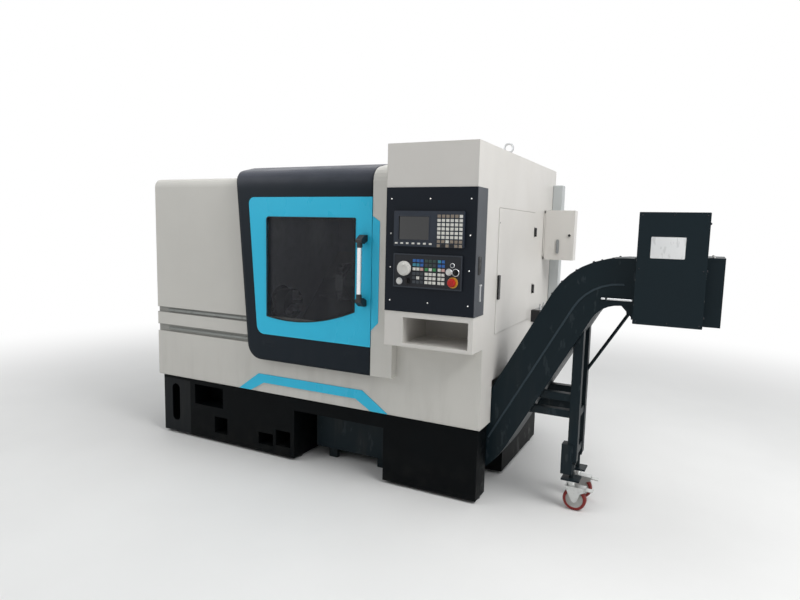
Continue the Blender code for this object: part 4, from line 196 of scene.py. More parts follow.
class Finish(Tree):
    """A Principled material whose colour, roughness and relief are built up layer by layer."""

    def __init__(self, name, colour, roughness, metallic=0.0, **constants):
        self.material = bpy.data.materials.new(name)
        self.material.use_nodes = True
        super().__init__(self.material.node_tree)
        self.shader = self.tree.nodes["Principled BSDF"]
        self.colour = colour
        self.roughness = roughness
        self.metallic = metallic
        self.relief = None
        self.ease = 0.0
        for socket, value in constants.items():
            self.shader.inputs[socket.replace("_", " ")].default_value = value
        self.place = self.node("ShaderNodeTexCoord", output="Object")
        parts = self.node("ShaderNodeSeparateXYZ", None, {0: self.place}).socket.node
        self.x, self.y, self.z = (Value(self, socket) for socket in parts.outputs)

    def mix(self, mask, below, above, blend="MIX"):
        settings = {"data_type": "RGBA", "blend_type": blend}
        return self.node("ShaderNodeMix", settings, {0: mask, 6: below, 7: above}, 2)

    def ramp(self, value, low, high, start=0.0, end=1.0):
        """The value, eased from start at low to end at high."""
        inputs = {"Value": value, "From Min": low, "From Max": high, "To Min": start, "To Max": end}
        return self.node("ShaderNodeMapRange", {"interpolation_type": "SMOOTHSTEP"}, inputs)

    def noise(self, scale, detail=2.0, stretch=(1, 1, 1)):
        """Noise from 0 to 1, its scale in cells a metre."""
        turned = self.node("ShaderNodeMapping", None, {"Vector": self.place, "Scale": stretch})
        inputs = {"Vector": turned, "Scale": scale, "Detail": detail, "Roughness": 0.55}
        return self.node("ShaderNodeTexNoise", None, inputs, "Fac")

    def between(self, value, low, high, soft=0.0006):
        """1 from low to high and 0 outside, with soft edges."""
        rising = self.ramp(value, low - soft, low + soft)
        falling = self.ramp(value, high - soft, high + soft, 1.0, 0.0)
        return rising * falling

    def region(self, low, high, soft=0.0006):
        """1 inside a box that is given in the machine's own datum."""
        low, high = DATUM + Vector(low), DATUM + Vector(high)
        spans = zip((self.x, self.y, self.z), low, high)
        first, second, third = (self.between(value, least, most, soft) for value, least, most in spans)
        return first * second * third

    def distance(self, centre, axis):
        """Distance from a line through a point in the machine's own datum, along one axis."""
        centre = DATUM + Vector(centre)
        first, second = (getattr(self, name) - getattr(centre, name) for name in "xyz" if name != axis)
        return self.math("SQRT", first * first + second * second)

    def disc(self, centre, axis, radius, soft=0.0005):
        """1 inside a radius about such a line, with a soft edge."""
        return self.ramp(self.distance(centre, axis), radius - soft, radius, 1, 0)

    def paint(self, mask, colour):
        self.colour = self.mix(mask, self.colour, colour)

    def shade(self, factor):
        """Multiplies the colour by a grey factor."""
        grey = self.node("ShaderNodeCombineColor", None, {0: factor, 1: factor, 2: factor})
        self.colour = self.mix(1.0, self.colour, grey, "MULTIPLY")

    def dull(self, mask, roughness):
        self.roughness = self.math("MULTIPLY_ADD", mask, roughness - self.roughness, self.roughness)

    def raise_by(self, height):
        self.relief = height if self.relief is None else self.relief + height

    def done(self, depth=0.0004, strength=0.5):
        """Wires what was built to the shader and gives the material."""
        self.feed(self.shader.inputs["Base Color"], self.colour)
        self.feed(self.shader.inputs["Roughness"], self.roughness)
        self.feed(self.shader.inputs["Metallic"], self.metallic)
        normal = None
        if self.ease:
            normal = self.node("ShaderNodeBevel", {"samples": 6}, {"Radius": self.ease})
        if self.relief is not None:
            inputs = {"Height": self.relief, "Distance": depth, "Strength": strength}
            if normal:
                inputs["Normal"] = normal
            normal = self.node("ShaderNodeBump", None, inputs)
        if normal:
            self.feed(self.shader.inputs["Normal"], normal)
        return self.material


def edges_of(finish, node, width):
    """Mask that is 1 along the edges of a box-shaped node."""
    low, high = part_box(node)
    near = []
    for value, least, most in zip((finish.x, finish.y, finish.z), low, high):
        middle, half = (least + most) / 2, (most - least) / 2
        away = finish.math("ABSOLUTE", value - middle)
        near.append(finish.ramp(away, half - width, half - width * 0.2))
    pairs = near[0] * near[1] + near[1] * near[2] + near[0] * near[2]
    return finish.math("MINIMUM", pairs, 1.0)


def settings():
    scene = bpy.context.scene
    return scene.lathe_paint, scene.lathe_fasteners, scene.lathe_stage


def dress(material, *names):
    """Gives the named CAD nodes one material."""
    for name in names:
        NODES[name].data.materials.clear()
        NODES[name].data.materials.append(material)


def powder_coat(name, colour, roughness=0.36, soil=0.08, worn=None, peel=0.5, gloss=0.32):
    """Powder-coated sheet: fine peel, faint clouds, soiling near the floor and rubbed edges."""
    finish = Finish(name, tuple(colour), roughness, Specular_IOR_Level=gloss)
    finish.ease = 0.0025
    cloud = finish.noise(2.2, 3)
    finish.shade(finish.ramp(cloud, 0.25, 0.75, 0.97, 1.02))
    streak = finish.noise(16, 4, (1, 1, 0.14))
    soiled = finish.ramp(finish.z, 0.30, 1.05, 1, 0) * finish.ramp(streak, 0.42, 0.78)
    finish.paint(soiled * soil, srgb(104, 97, 85))
    smear = finish.noise(5.5, 5, (1, 1, 0.5))
    finish.roughness = finish.ramp(smear, 0.3, 0.72, roughness - 0.05, roughness + 0.10)
    finish.raise_by(finish.noise(430, 2) * peel)
    if worn:
        rubbed = edges_of(finish, worn, 0.0016) * finish.ramp(finish.noise(42, 5), 0.56, 0.64)
        finish.paint(rubbed * 0.5, srgb(150, 148, 142))
    return finish


def metal(name, colour, roughness, lines=None, stain=0.3):
    """Bare metal with cutter or brush lines across the given stretch, and dull stains."""
    finish = Finish(name, colour, roughness, 1.0)
    if lines:
        brushed = finish.noise(220, 3, lines)
        finish.shade(finish.ramp(brushed, 0.3, 0.7, 0.88, 1.06))
        finish.raise_by(brushed * 0.3)
    blotch = finish.ramp(finish.noise(18, 5), 0.5, 0.75)
    finish.roughness = finish.ramp(blotch, 0.0, 1.0, roughness, roughness + 0.18)
    finish.shade(finish.ramp(blotch, 0.0, 1.0, 1.0, 1.0 - stain))
    return finish


def moulded(name, colour, roughness=0.42, grain=700):
    """Moulded plastic with a fine spark-eroded grain."""
    finish = Finish(name, colour, roughness, Specular_IOR_Level=0.3)
    finish.raise_by(finish.noise(grain, 2) * 0.35)
    finish.roughness = finish.ramp(finish.noise(40, 4), 0.3, 0.7, roughness - 0.06, roughness + 0.08)
    finish.shade(finish.ramp(finish.noise(25, 3), 0.3, 0.7, 0.93, 1.04))
    return finish


def cast(name, colour, roughness=0.6, gloss=0.32):
    """Painted casting: a pitted, slightly uneven surface."""
    finish = Finish(name, tuple(colour), roughness, Specular_IOR_Level=gloss)
    finish.raise_by(finish.noise(150, 5) * 1.4)
    finish.shade(finish.ramp(finish.noise(6, 5), 0.3, 0.7, 0.82, 1.08))
    oily = finish.ramp(finish.noise(9, 4), 0.5, 0.68)
    finish.dull(oily, 0.28)
    return finish


# The two grooves of the left cover, as boxes in the machine's own datum; they are painted darker with
# painted shade and dirt
GROOVES = (((-0.1, -0.02, 0.742), (0.935, 0.02, 0.796)), ((-0.1, -0.02, 0.877), (0.935, 0.02, 0.918)))
GROOVE_SHADE_AND_DIRT = srgb(66, 70, 68)


class LATHE_OT_enclosure(bpy.types.Operator):
    """Paint the enclosure's covers, skirt, pillar, roof and stripes"""

    bl_idname = "lathe.enclosure"
    bl_label = "Paint the enclosure"

    def execute(self, context):
        paint, _, _ = settings()
        cover = powder_coat("cover_paint", paint.body, worn="left_cover")
        # The grooves are painted darker: painted shade in the recesses, together with dirt
        for low, high in GROOVES:
            cover.paint(cover.region(low, high) * 0.5, GROOVE_SHADE_AND_DIRT)
        dress(cover.done(), "left_cover")
        dress(powder_coat("skirt_paint", paint.body, soil=0.12).done(), "front_skirt", "front_frame")
        dress(powder_coat("roof_paint", paint.body, soil=0.0).done(), "roof_cover", "rear_cover")
        dress(powder_coat("pillar_paint", paint.body, worn="door_pillar").done(), "door_pillar")
        stripe = powder_coat("stripe_paint", paint.stripe, roughness=0.30, soil=0.04, peel=0.3)
        dress(stripe.done(), "skirt_stripe", "pillar_stripe", "door_panel")
        return {"FINISHED"}


class LATHE_OT_hood(bpy.types.Operator):
    """Paint the sliding door's hood and finish its glass and its handle"""

    bl_idname = "lathe.hood"
    bl_label = "Finish the sliding door"

    def execute(self, context):
        paint, _, _ = settings()
        hood = powder_coat("hood_paint", paint.hood, roughness=0.34, soil=0.03, peel=0.6, gloss=0.14)
        hood.ease = 0.03
        # The hood's top is painted lighter and greyer: painted sheen from the light above, together with
        # dust
        dust = hood.ramp(hood.noise(7, 5, (0.4, 1, 1)), 0.25, 0.75, 0.6, 1.0)
        dust_and_sheen = hood.ramp(hood.z, 1.70, 1.83) * dust
        hood.paint(dust_and_sheen * 0.24, srgb(150, 152, 166))
        dress(hood.done(), "door_shell")
        glass = Finish("smoked_glass", srgb(50, 52, 58), 0.05, Specular_IOR_Level=0.3)
        wiped = glass.ramp(glass.noise(7, 4, (1, 1, 0.4)), 0.42, 0.75)
        glass.roughness = glass.ramp(wiped, 0.0, 1.0, 0.04, 0.14)
        glass.paint(wiped * 0.05, srgb(160, 164, 166))
        glass.feed(glass.shader.inputs["Alpha"], glass.ramp(wiped, 0.0, 1.0, 0.30, 0.38))
        dress(glass.done(), "door_window")
        low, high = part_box("door_handle")
        handle = metal("handle_steel", (0.80, 0.81, 0.82, 1), 0.26, None, 0.05)
        half_tube = 0.128
        from_middle = handle.math("ABSOLUTE", handle.z - (low.z + high.z) / 2)
        fitting = handle.ramp(from_middle, half_tube, half_tube + 0.0005)
        handle.paint(fitting, srgb(24, 25, 27))
        handle.dull(fitting, 0.45)
        handle.metallic = 1 - fitting
        dress(handle.done(), "door_handle")
        return {"FINISHED"}


# Painted places on the cabinet and what it carries, in the machine's own datum
# SHELF_INSIDE is the recess under the cabinet, darkened with painted shade
SHELF_INSIDE = ((2.005, -0.10, 0.894), (2.371, 0.30, 1.031))
DOOR_HOLE = (0, 0.213, 1.54)
HINGE_LEVELS = (1.13, 1.50)
HINGE_BELOW, HINGE_ABOVE = (2.3982, 0.936, -0.040), (2.43, 0.99, 0.026)
BOX_LOCK = (2.578, 0, 1.477)
MANIFOLD_END = ((2.39, 0.90, 0.88), (2.47, 1.0123, 1.0))
DRIVE_UNITS = ((2.026, 0.2, 0.75), (2.2, 0.97, 1.6))


class LATHE_OT_cabinet(bpy.types.Operator):
    """Paint the control cabinet, its side door and the white wall box"""

    bl_idname = "lathe.cabinet"
    bl_label = "Paint the control cabinet"

    def execute(self, context):
        paint, _, _ = settings()
        cabinet = powder_coat("cabinet_paint", paint.cabinet, worn="control_cabinet", soil=0.10)
        # The inside of the shelf under the cabinet is painted darker: painted shade under the overhang
        shelf_shade = cabinet.region(*SHELF_INSIDE, soft=0.01)
        cabinet.paint(shelf_shade * 0.35, srgb(120, 116, 110))
        door = powder_coat("side_door_paint", paint.cabinet, soil=0.06)
        # The hole in the side door is drawn as a dark dot: painted shade where the door has a hole
        door.paint(door.disc(DOOR_HOLE, "x", 0.0055, soft=0.001), srgb(20, 20, 20))
        for level in HINGE_LEVELS:
            rise = Vector((0, 0, level))
            for finish in (cabinet, door):
                hinge = finish.region(rise + Vector(HINGE_BELOW), rise + Vector(HINGE_ABOVE))
                finish.paint(hinge, srgb(18, 18, 19))
        dress(cabinet.done(), "control_cabinet")
        dress(door.done(), "electrical_door")
        box = powder_coat("wall_box_paint", paint.cabinet, soil=0.0, roughness=0.30)
        box.paint(box.disc(BOX_LOCK, "y", 0.009), srgb(26, 26, 27))
        dress(box.done(), "side_box", "side_box_lid")
        dress(moulded("latch_plastic", srgb(22, 22, 23)).done(), "door_latch")
        duct = powder_coat("duct_paint", srgb(184, 188, 188), soil=0.04)
        dress(duct.done(), "rear_duct")
        manifold = metal("manifold_metal", (0.52, 0.53, 0.54, 1), 0.42, (0.05, 1, 1))
        end = manifold.region(*MANIFOLD_END)
        manifold.paint(end, srgb(20, 20, 22))
        manifold.metallic = 1 - end
        dress(manifold.done(), "fluid_manifold")
        dress(metal("eye_steel", (0.55, 0.56, 0.57, 1), 0.38).done(), "eye_bolt")
        plate = powder_coat("mounting_plate", srgb(190, 186, 172), soil=0.0)
        plate.paint(plate.region(*DRIVE_UNITS), srgb(66, 69, 73))
        dress(plate.done(), "electrical_plate")
        return {"FINISHED"}


# Castings behind the glass: name, colour and the nodes that wear it
CASTINGS = (
    ("bed_paint", (112, 116, 118), ("slant_bed", "headstock", "carriage", "cross_slide", "turret_housing")),
    ("motor_paint", (70, 74, 78), ("spindle_motor",)),
    ("pump_paint", (50, 120, 150), ("coolant_pump",)),
)

JAWS = ("chuck_jaw_1", "chuck_jaw_2", "chuck_jaw_3")

# Bare metals: name, colour, roughness, stretch of the tool marks, stain and nodes
MACHINED = (
    ("spindle_steel", (0.62, 0.63, 0.64, 1), 0.25, (0.03, 1, 1), 0.3, ("spindle",)),
    ("chuck_steel", (0.035, 0.037, 0.042, 1), 0.34, (1, 0.2, 0.2), 0.2, ("chuck_body",)),
    ("jaw_steel", (0.66, 0.66, 0.66, 1), 0.30, (1, 0.1, 0.1), 0.3, JAWS),
    ("turret_steel", (0.50, 0.51, 0.52, 1), 0.32, (0.1, 1, 1), 0.3, ("turret_disc",)),
    ("rail_steel", (0.24, 0.25, 0.24, 1), 0.46, (0.01, 1, 1), 0.3, ("door_rail_lower", "door_rail_upper")),
)


class LATHE_OT_machinery(bpy.types.Operator):
    """Finish the castings, spindle, chuck, turret and rails behind the glass"""

    bl_idname = "lathe.machinery"
    bl_label = "Finish the machinery"

    def execute(self, context):
        for name, colour, nodes in CASTINGS:
            dress(cast(name, srgb(*colour)).done(), *nodes)
        for name, colour, roughness, stretch, stain, nodes in MACHINED:
            dress(metal(name, colour, roughness, stretch, stain).done(), *nodes)
        liner = powder_coat("liner_paint", srgb(196, 200, 206), roughness=0.45)
        splash = liner.ramp(liner.noise(22, 5), 0.5, 0.62)
        liner.paint(splash * 0.12, srgb(90, 92, 88))
        dress(liner.done(), "work_area_liner")
        return {"FINISHED"}


class LATHE_OT_base(bpy.types.Operator):
    """Paint the base frame, its end panel and the coolant tank"""

    bl_idname = "lathe.base"
    bl_label = "Paint the base"

    def execute(self, context):
        paint, _, _ = settings()
        base = cast("base_paint", paint.base, 0.55, 0.07)
        dust = base.ramp(base.z, 0.0, 0.30, 1, 0) * base.ramp(base.noise(12, 5), 0.4, 0.7)
        base.paint(dust * 0.05, srgb(88, 84, 76))
        foot_top = 0.018
        feet = base.ramp(base.z, foot_top - 0.0005, foot_top, 1, 0)
        base.paint(feet, srgb(120, 121, 122))
        base.metallic = feet
        dress(base.done(), "base_frame", "coolant_tank")
        panel = powder_coat("end_panel_paint", srgb(18, 22, 25), soil=0.05, gloss=0.12)
        dress(panel.done(), "base_end_panel")
        return {"FINISHED"}


# The seam along the trough's side, painted lighter as a painted highlight on its proud edge, and the tension
# screw in its bracket, in the machine's own datum
TROUGH_SEAM = ((1.9, 0.190, 0.02), (3.2, 0.1994, 1.5))
TENSION_SCREW = (0, 0.191, 1.169)
TENSION_SPAN = ((2.94, 0.1, 1.1), (3.0975, 0.1995, 1.2))


class LATHE_OT_conveyor(bpy.types.Operator):
    """Paint the chip conveyor, its head, guard and stand, and finish the casters"""

    bl_idname = "lathe.conveyor"
    bl_label = "Finish the conveyor"

    def execute(self, context):
        paint, _, _ = settings()
        trough = powder_coat("trough_paint", paint.conveyor, roughness=0.42, soil=0.10, peel=0.8, gloss=0.15)
        scuffed = trough.ramp(trough.noise(24, 6, (1, 1, 0.35)), 0.60, 0.66)
        trough.paint(scuffed * 0.12, srgb(92, 100, 104))
        # The seam's proud strip is painted lighter: a painted highlight along its edge
        trough.paint(trough.region(*TROUGH_SEAM) * 0.6, srgb(64, 76, 84))
        screw = trough.disc(TENSION_SCREW, "x", 0.0068, soft=0.0004)
        bare = screw * trough.region(*TENSION_SPAN)
        trough.paint(bare, (0.6, 0.61, 0.62, 1))
        trough.metallic = bare
        trough.dull(bare, 0.22)
        dress(trough.done(), "conveyor_body", "conveyor_stand")
        boxes = (("head_paint", 0.42, "conveyor_head"), ("guard_paint", 0.40, "drive_guard"))
        for name, roughness, node in boxes:
            box = powder_coat(name, paint.conveyor, roughness, soil=0.0, worn=node, peel=0.8, gloss=0.16)
            dress(box.done(), node)
        dress(cast("gear_motor_paint", srgb(96, 102, 108)).done(), "gear_motor")
        zinc = metal("zinc_plate", (0.60, 0.61, 0.60, 1), 0.36)
        dress(zinc.done(), "caster_fork_front", "caster_fork_back", "brake_pedal_front", "brake_pedal_back")
        for name in ("caster_wheel_front", "caster_wheel_back"):
            low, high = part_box(name)
            middle = (low + high) / 2 - DATUM
            tread = moulded(f"{name}_tread", srgb(122, 38, 34), 0.5)
            tread.paint(tread.disc(middle, "y", 0.046), srgb(172, 172, 168))
            dress(tread.done(), name)
        return {"FINISHED"}


# Painted places on the controls, in the machine's own datum
# FASCIA_SIDE: where the fascia's right side begins, which is painted lighter as painted light
FASCIA_SIDE = 2.3985
SCREEN = ((1.979, -0.2, 1.441), (2.149, -0.1672, 1.559))
PANEL_RIM = ((1.9, -0.17, 1.1), (2.4, -0.1622, 1.4))


class LATHE_OT_controls(bpy.types.Operator):
    """Finish the fascia, display unit, operator panel and the controls on it"""

    bl_idname = "lathe.controls"
    bl_label = "Finish the controls"

    def execute(self, context):
        paint, _, _ = settings()
        wear = {"soil": 0.0, "worn": "fascia_plate", "peel": 1.1}
        fascia = powder_coat("fascia_paint", paint.fascia, 0.44, gloss=0.14, **wear)
        # The fascia's right side is painted lighter than its front: painted light, as that side faces the
        # light
        side = fascia.ramp(fascia.x, DATUM.x + FASCIA_SIDE, DATUM.x + FASCIA_SIDE + 0.0004)
        fascia.paint(side, srgb(80, 83, 88))
        dress(fascia.done(), "fascia_plate")
        unit = moulded("display_case", srgb(38, 45, 56))
        screen = unit.region(*SCREEN)
        unit.paint(screen, srgb(16, 20, 24))
        unit.dull(screen, 0.08)
        dress(unit.done(), "cnc_unit")
        panel = moulded("panel_case", srgb(24, 27, 33))
        panel.paint(panel.region(*PANEL_RIM, soft=0.0002), srgb(44, 50, 58))
        dress(panel.done(), "operator_panel")
        wheel = moulded("handwheel_plastic", srgb(214, 213, 208), 0.32)
        dress(wheel.done(), "handwheel", "start_button", "stop_button")
        dress(moulded("knob_plastic", srgb(20, 20, 21)).done(), "override_knob", "mode_selector")
        dress(moulded("stop_plastic", srgb(176, 34, 28), 0.28).done(), "emergency_stop")
        return {"FINISHED"}


def solid_shape(name, outline, thickness, ease, holes=()):
    """A plate of the outline's form, its back in the XZ plane and its front towards -Y."""
    curve = bpy.data.curves.new(name, "CURVE")
    curve.dimensions = "2D"
    curve.fill_mode = "BOTH"
    for points in (outline, *holes):
        spline = curve.splines.new("POLY")
        spline.points.add(len(points) - 1)
        for point, (across, up) in zip(spline.points, points):
            point.co = (across, up, 0, 1)
        spline.use_cyclic_u = True
    curve.extrude = thickness / 2 - ease
    curve.bevel_depth = ease
    curve.bevel_resolution = 2
    curve.offset = -ease
    guide = bpy.data.objects.new(name, curve)
    bpy.context.scene.collection.objects.link(guide)
    graph = bpy.context.evaluated_depsgraph_get()
    mesh = bpy.data.meshes.new_from_object(guide.evaluated_get(graph))
    bpy.data.objects.remove(guide)
    shape = bmesh.new()
    shape.from_mesh(mesh)
    bmesh.ops.remove_doubles(shape, verts=shape.verts, dist=0.00001)
    shape.transform(Matrix.Translation((0, -thickness / 2, 0)) @ Matrix.Rotation(pi / 2, 4, "X"))
    bmesh.ops.recalc_face_normals(shape, faces=shape.faces)
    shape.to_mesh(mesh)
    shape.free()
    return mesh


def rounded_box(left, low, right, high, radius, steps=5):
    """Corners of a rectangle with rounded corners, as points (across, up)."""
    centres = ((right - radius, high - radius), (left + radius, high - radius))
    centres += ((left + radius, low + radius), (right - radius, low + radius))
    points = []
    for quarter, (across, up) in enumerate(centres):
        for step in range(steps + 1):
            turn = pi / 2 * (quarter + step / steps)
            points.append((across + radius * cos(turn), up + radius * sin(turn)))
    return points


def turned_shape(name, profile, segments=32):
    """A closed profile of (radius, height) turned about the Z axis."""
    shape = bmesh.new()
    rows = []
    for step in range(segments):
        turn = 2 * pi * step / segments
        rows.append([shape.verts.new((r * cos(turn), r * sin(turn), h)) for r, h in profile])
    for step in range(segments):
        here, after = rows[step], rows[(step + 1) % segments]
        for n in range(len(profile)):
            m = (n + 1) % len(profile)
            shape.faces.new((here[n], after[n], after[m], here[m]))
    bmesh.ops.remove_doubles(shape, verts=shape.verts, dist=0.000005)
    bmesh.ops.dissolve_degenerate(shape, edges=shape.edges, dist=0.000005)
    bmesh.ops.recalc_face_normals(shape, faces=shape.faces)
    mesh = bpy.data.meshes.new(name)
    shape.to_mesh(mesh)
    shape.free()
    return mesh


def facing(direction):
    """A turn that sends +Z to the given direction."""
    return Vector(direction).to_track_quat("Z", "Y").to_matrix().to_4x4()


def placed(mesh, place, turn=None):
    """Moves a mesh to a place in the machine's own datum."""
    mesh.transform(Matrix.Translation(DATUM + Vector(place)) @ (turn or Matrix.Identity(4)))
    return mesh


def merged(name, meshes):
    shape = bmesh.new()
    for mesh in meshes:
        shape.from_mesh(mesh)
        bpy.data.meshes.remove(mesh)
    whole = bpy.data.meshes.new(name)
    shape.to_mesh(whole)
    shape.free()
    return whole


def add_piece(name, mesh, material, body, smooth=radians(40)):
    """Puts a finished mesh into the scene, on a body and with the given material."""
    mesh.materials.clear()
    mesh.materials.append(material)
    mesh.shade_smooth()
    mesh.set_sharp_from_angle(angle=smooth)
    piece = bpy.data.objects.new(name, mesh)
    bpy.context.scene.collection.objects.link(piece)
    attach(piece, body)
    return piece


class Growth(Tree):
    """A Geometry Nodes tree that sets one small shape on every point of a mesh."""

    def __init__(self, name, **sizes):
        super().__init__(bpy.data.node_groups.new(name, "GeometryNodeTree"))
        sockets = self.tree.interface
        sockets.new_socket("Geometry", in_out="INPUT", socket_type="NodeSocketGeometry")
        for label, default in {**sizes, "Seed": 7}.items():
            kind = "NodeSocketInt" if label == "Seed" else "NodeSocketFloat"
            sockets.new_socket(label, in_out="INPUT", socket_type=kind).default_value = default
        sockets.new_socket("Material", in_out="INPUT", socket_type="NodeSocketMaterial")
        sockets.new_socket("Geometry", in_out="OUTPUT", socket_type="NodeSocketGeometry")
        self.given = self.tree.nodes.new("NodeGroupInput")

    def size(self, name):
        return Value(self, self.given.outputs[name])

    def joined(self, *shapes):
        whole = self.node("GeometryNodeJoinGeometry")
        for shape in shapes:
            self.feed(whole.socket.node.inputs[0], shape)
        return whole

    def lifted(self, shape, height):
        offset = self.node("ShaderNodeCombineXYZ", None, {"Z": height})
        return self.node("GeometryNodeTransform", None, {"Geometry": shape, "Translation": offset})

    def cut(self, shape, tool):
        settings = {"operation": "DIFFERENCE", "solver": "EXACT"}
        return self.node("GeometryNodeMeshBoolean", settings, {"Mesh 1": shape, "Mesh 2": tool})

    def cone(self, vertices, top, bottom, depth):
        inputs = {"Vertices": vertices, "Radius Top": top, "Radius Bottom": bottom, "Depth": depth}
        return self.node("GeometryNodeMeshCone", None, inputs)

    def finish(self, shape, spin=True):
        """Sets the shape on each point, facing the given way, and ends the tree."""
        settings = {"data_type": "FLOAT_VECTOR"}
        facing = self.node("GeometryNodeInputNamedAttribute", settings, {"Name": "facing"})
        aligned = self.node("FunctionNodeAlignRotationToVector", {"axis": "Z"}, {"Vector": facing})
        if spin:
            span = {2: 0.0, 3: 2 * pi, "Seed": self.size("Seed")}
            turn = self.node("FunctionNodeRandomValue", {"data_type": "FLOAT"}, span, 1)
            about = self.node("FunctionNodeAxisAngleToRotation", None, {"Axis": (0, 0, 1), "Angle": turn})
            inputs = {"Rotation": aligned, "Rotate By": about}
            aligned = self.node("FunctionNodeRotateRotation", {"rotation_space": "LOCAL"}, inputs)
        inputs = {"Points": self.size("Geometry"), "Instance": shape, "Rotation": aligned}
        spread = self.node("GeometryNodeInstanceOnPoints", None, inputs)
        real = self.node("GeometryNodeRealizeInstances", None, {"Geometry": spread})
        inputs = {"Geometry": real, "Material": self.size("Material")}
        painted = self.node("GeometryNodeSetMaterial", None, inputs)
        self.feed(self.tree.nodes.new("NodeGroupOutput").inputs[0], painted)
        return self.tree


def socket_screw():
    """A button-head screw with a hexagonal recess."""
    made = Growth("socket_screw", Width=0.01, Height=0.003)
    radius, height = made.size("Width") * 0.5, made.size("Height")
    shoulder, shoulder_height = radius * 0.93, height * 0.45
    rim = made.cone(14, shoulder, radius, shoulder_height)
    dome = made.cone(14, radius * 0.62, shoulder, height * 0.55)
    recess = {"Vertices": 6, "Radius": radius * 0.40, "Depth": height}
    tool = made.lifted(made.node("GeometryNodeMeshCylinder", None, recess), height * 0.92)
    return made.finish(made.joined(rim, made.cut(made.lifted(dome, shoulder_height), tool)))


def cross_screw():
    """A domed screw with a cross recess."""
    made = Growth("cross_screw", Width=0.008, Height=0.002)
    radius, height = made.size("Width") * 0.5, made.size("Height")
    head = made.cone(14, radius * 0.55, radius, height)
    long, narrow = radius * 0.80, radius * 0.20
    for across, along in ((long, narrow), (narrow, long)):
        size = made.node("ShaderNodeCombineXYZ", None, {"X": across, "Y": along, "Z": height})
        blade = made.node("GeometryNodeMeshCube", None, {"Size": size})
        head = made.cut(head, made.lifted(blade, height))
    return made.finish(head)


def hexagon_bolt():
    """A hexagon head on its washer, with a chamfered top."""
    made = Growth("hexagon_bolt", Width=0.014, Height=0.006)
    radius, height = made.size("Width") * 0.5, made.size("Height")
    wide, plate = radius * 1.22, height * 0.22
    washer = made.cone(18, wide, wide, plate)
    shaft = made.lifted(made.cone(6, radius, radius, height * 0.66), plate)
    crown = made.lifted(made.cone(6, radius * 0.84, radius, height * 0.12), height * 0.88)
    return made.finish(made.joined(washer, shaft, crown))


def raised_block():
    """A block with chamfered upper edges, as a keycap or a louvre has."""
    made = Growth("raised_block", Width=0.016, Length=0.014, Height=0.003)
    wide, long, height = (made.size(name) for name in ("Width", "Length", "Height"))
    share = 0.6
    size = made.node("ShaderNodeCombineXYZ", None, {"X": wide, "Y": long, "Z": height * share})
    block = made.lifted(made.node("GeometryNodeMeshCube", None, {"Size": size}), height * (share / 2))
    taper = made.cone(4, 0.60, sqrt(0.5), 1 - share)
    turned = {"Geometry": taper, "Rotation": (0, 0, pi / 4), "Translation": (0, 0, share)}
    upright = made.node("GeometryNodeTransform", None, turned)
    scale = made.node("ShaderNodeCombineXYZ", None, {"X": wide, "Y": long, "Z": height})
    cap = made.node("GeometryNodeTransform", None, {"Geometry": upright, "Scale": scale})
    return made.finish(made.joined(block, cap), spin=False)


def grown(name, places, tree, sizes, facing, material, body):
    """Sets a tree's shape on places in the machine's datum and keeps the result as one plain mesh."""
    points = bpy.data.meshes.new(f"{name}_points")
    points.from_pydata([DATUM + Vector(place) for place in places], [], [])
    ways = facing if isinstance(facing, list) else [facing] * len(places)
    stored = points.attributes.new("facing", "FLOAT_VECTOR", "POINT")
    stored.data.foreach_set("vector", [part for way in ways for part in way])
    guide = bpy.data.objects.new(f"{name}_guide", points)
    bpy.context.scene.collection.objects.link(guide)
    modifier = guide.modifiers.new("growth", "NODES")
    modifier.node_group = tree
    given = {**sizes, "Material": material}
    for item in tree.interface.items_tree:
        if item.in_out == "INPUT" and item.name in given:
            modifier[item.identifier] = given[item.name]
    graph = bpy.context.evaluated_depsgraph_get()
    mesh = bpy.data.meshes.new_from_object(guide.evaluated_get(graph))
    bpy.data.objects.remove(guide)
    bpy.data.meshes.remove(points)
    if not mesh.polygons:
        raise ValueError(f"nothing grew for {name}")
    return add_piece(name, mesh, material, body)


GROWTHS = {}


def screw_trees():
    """The trees of the repeated pieces, each built once."""
    if not GROWTHS:
        for kind, built in (("socket", socket_screw), ("cross", cross_screw), ("bolt", hexagon_bolt)):
            GROWTHS[kind] = built()
        GROWTHS["block"] = raised_block()
    return GROWTHS


def machine_box(node):
    """A node's lowest and highest corners in the machine's own datum."""
    low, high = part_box(node)
    return low - DATUM, high - DATUM


def landed(node, start, way):
    """Where a line from a start meets a node, with the way that its surface faces there."""
    piece = NODES[node]
    inverse = piece.matrix_world.inverted()
    origin = inverse @ (DATUM + Vector(start))
    found, place, normal, _ = piece.ray_cast(origin, (inverse.to_3x3() @ Vector(way)).normalized())
    if not found:
        raise ValueError(f"no surface of {node} on the line from {start}")
    return piece.matrix_world @ place - DATUM, (piece.matrix_world.to_3x3() @ normal).normalized()


def even(first, last, count):
    return [first + (last - first) * step / (count - 1) for step in range(count)]


# Rim bolts on the conveyor's upper bend: the bend's centre (x, z) in the machine's own datum, the
# bolts' turns about it in degrees, their rows across and how far out the search for the rim starts
BEND_CENTRE = (3.036, 0.981)
RIM_TURNS = (96, 110, 124, 138, 150)
RIM_ROWS = (0.213, 0.487)
RIM_REACH = 0.6


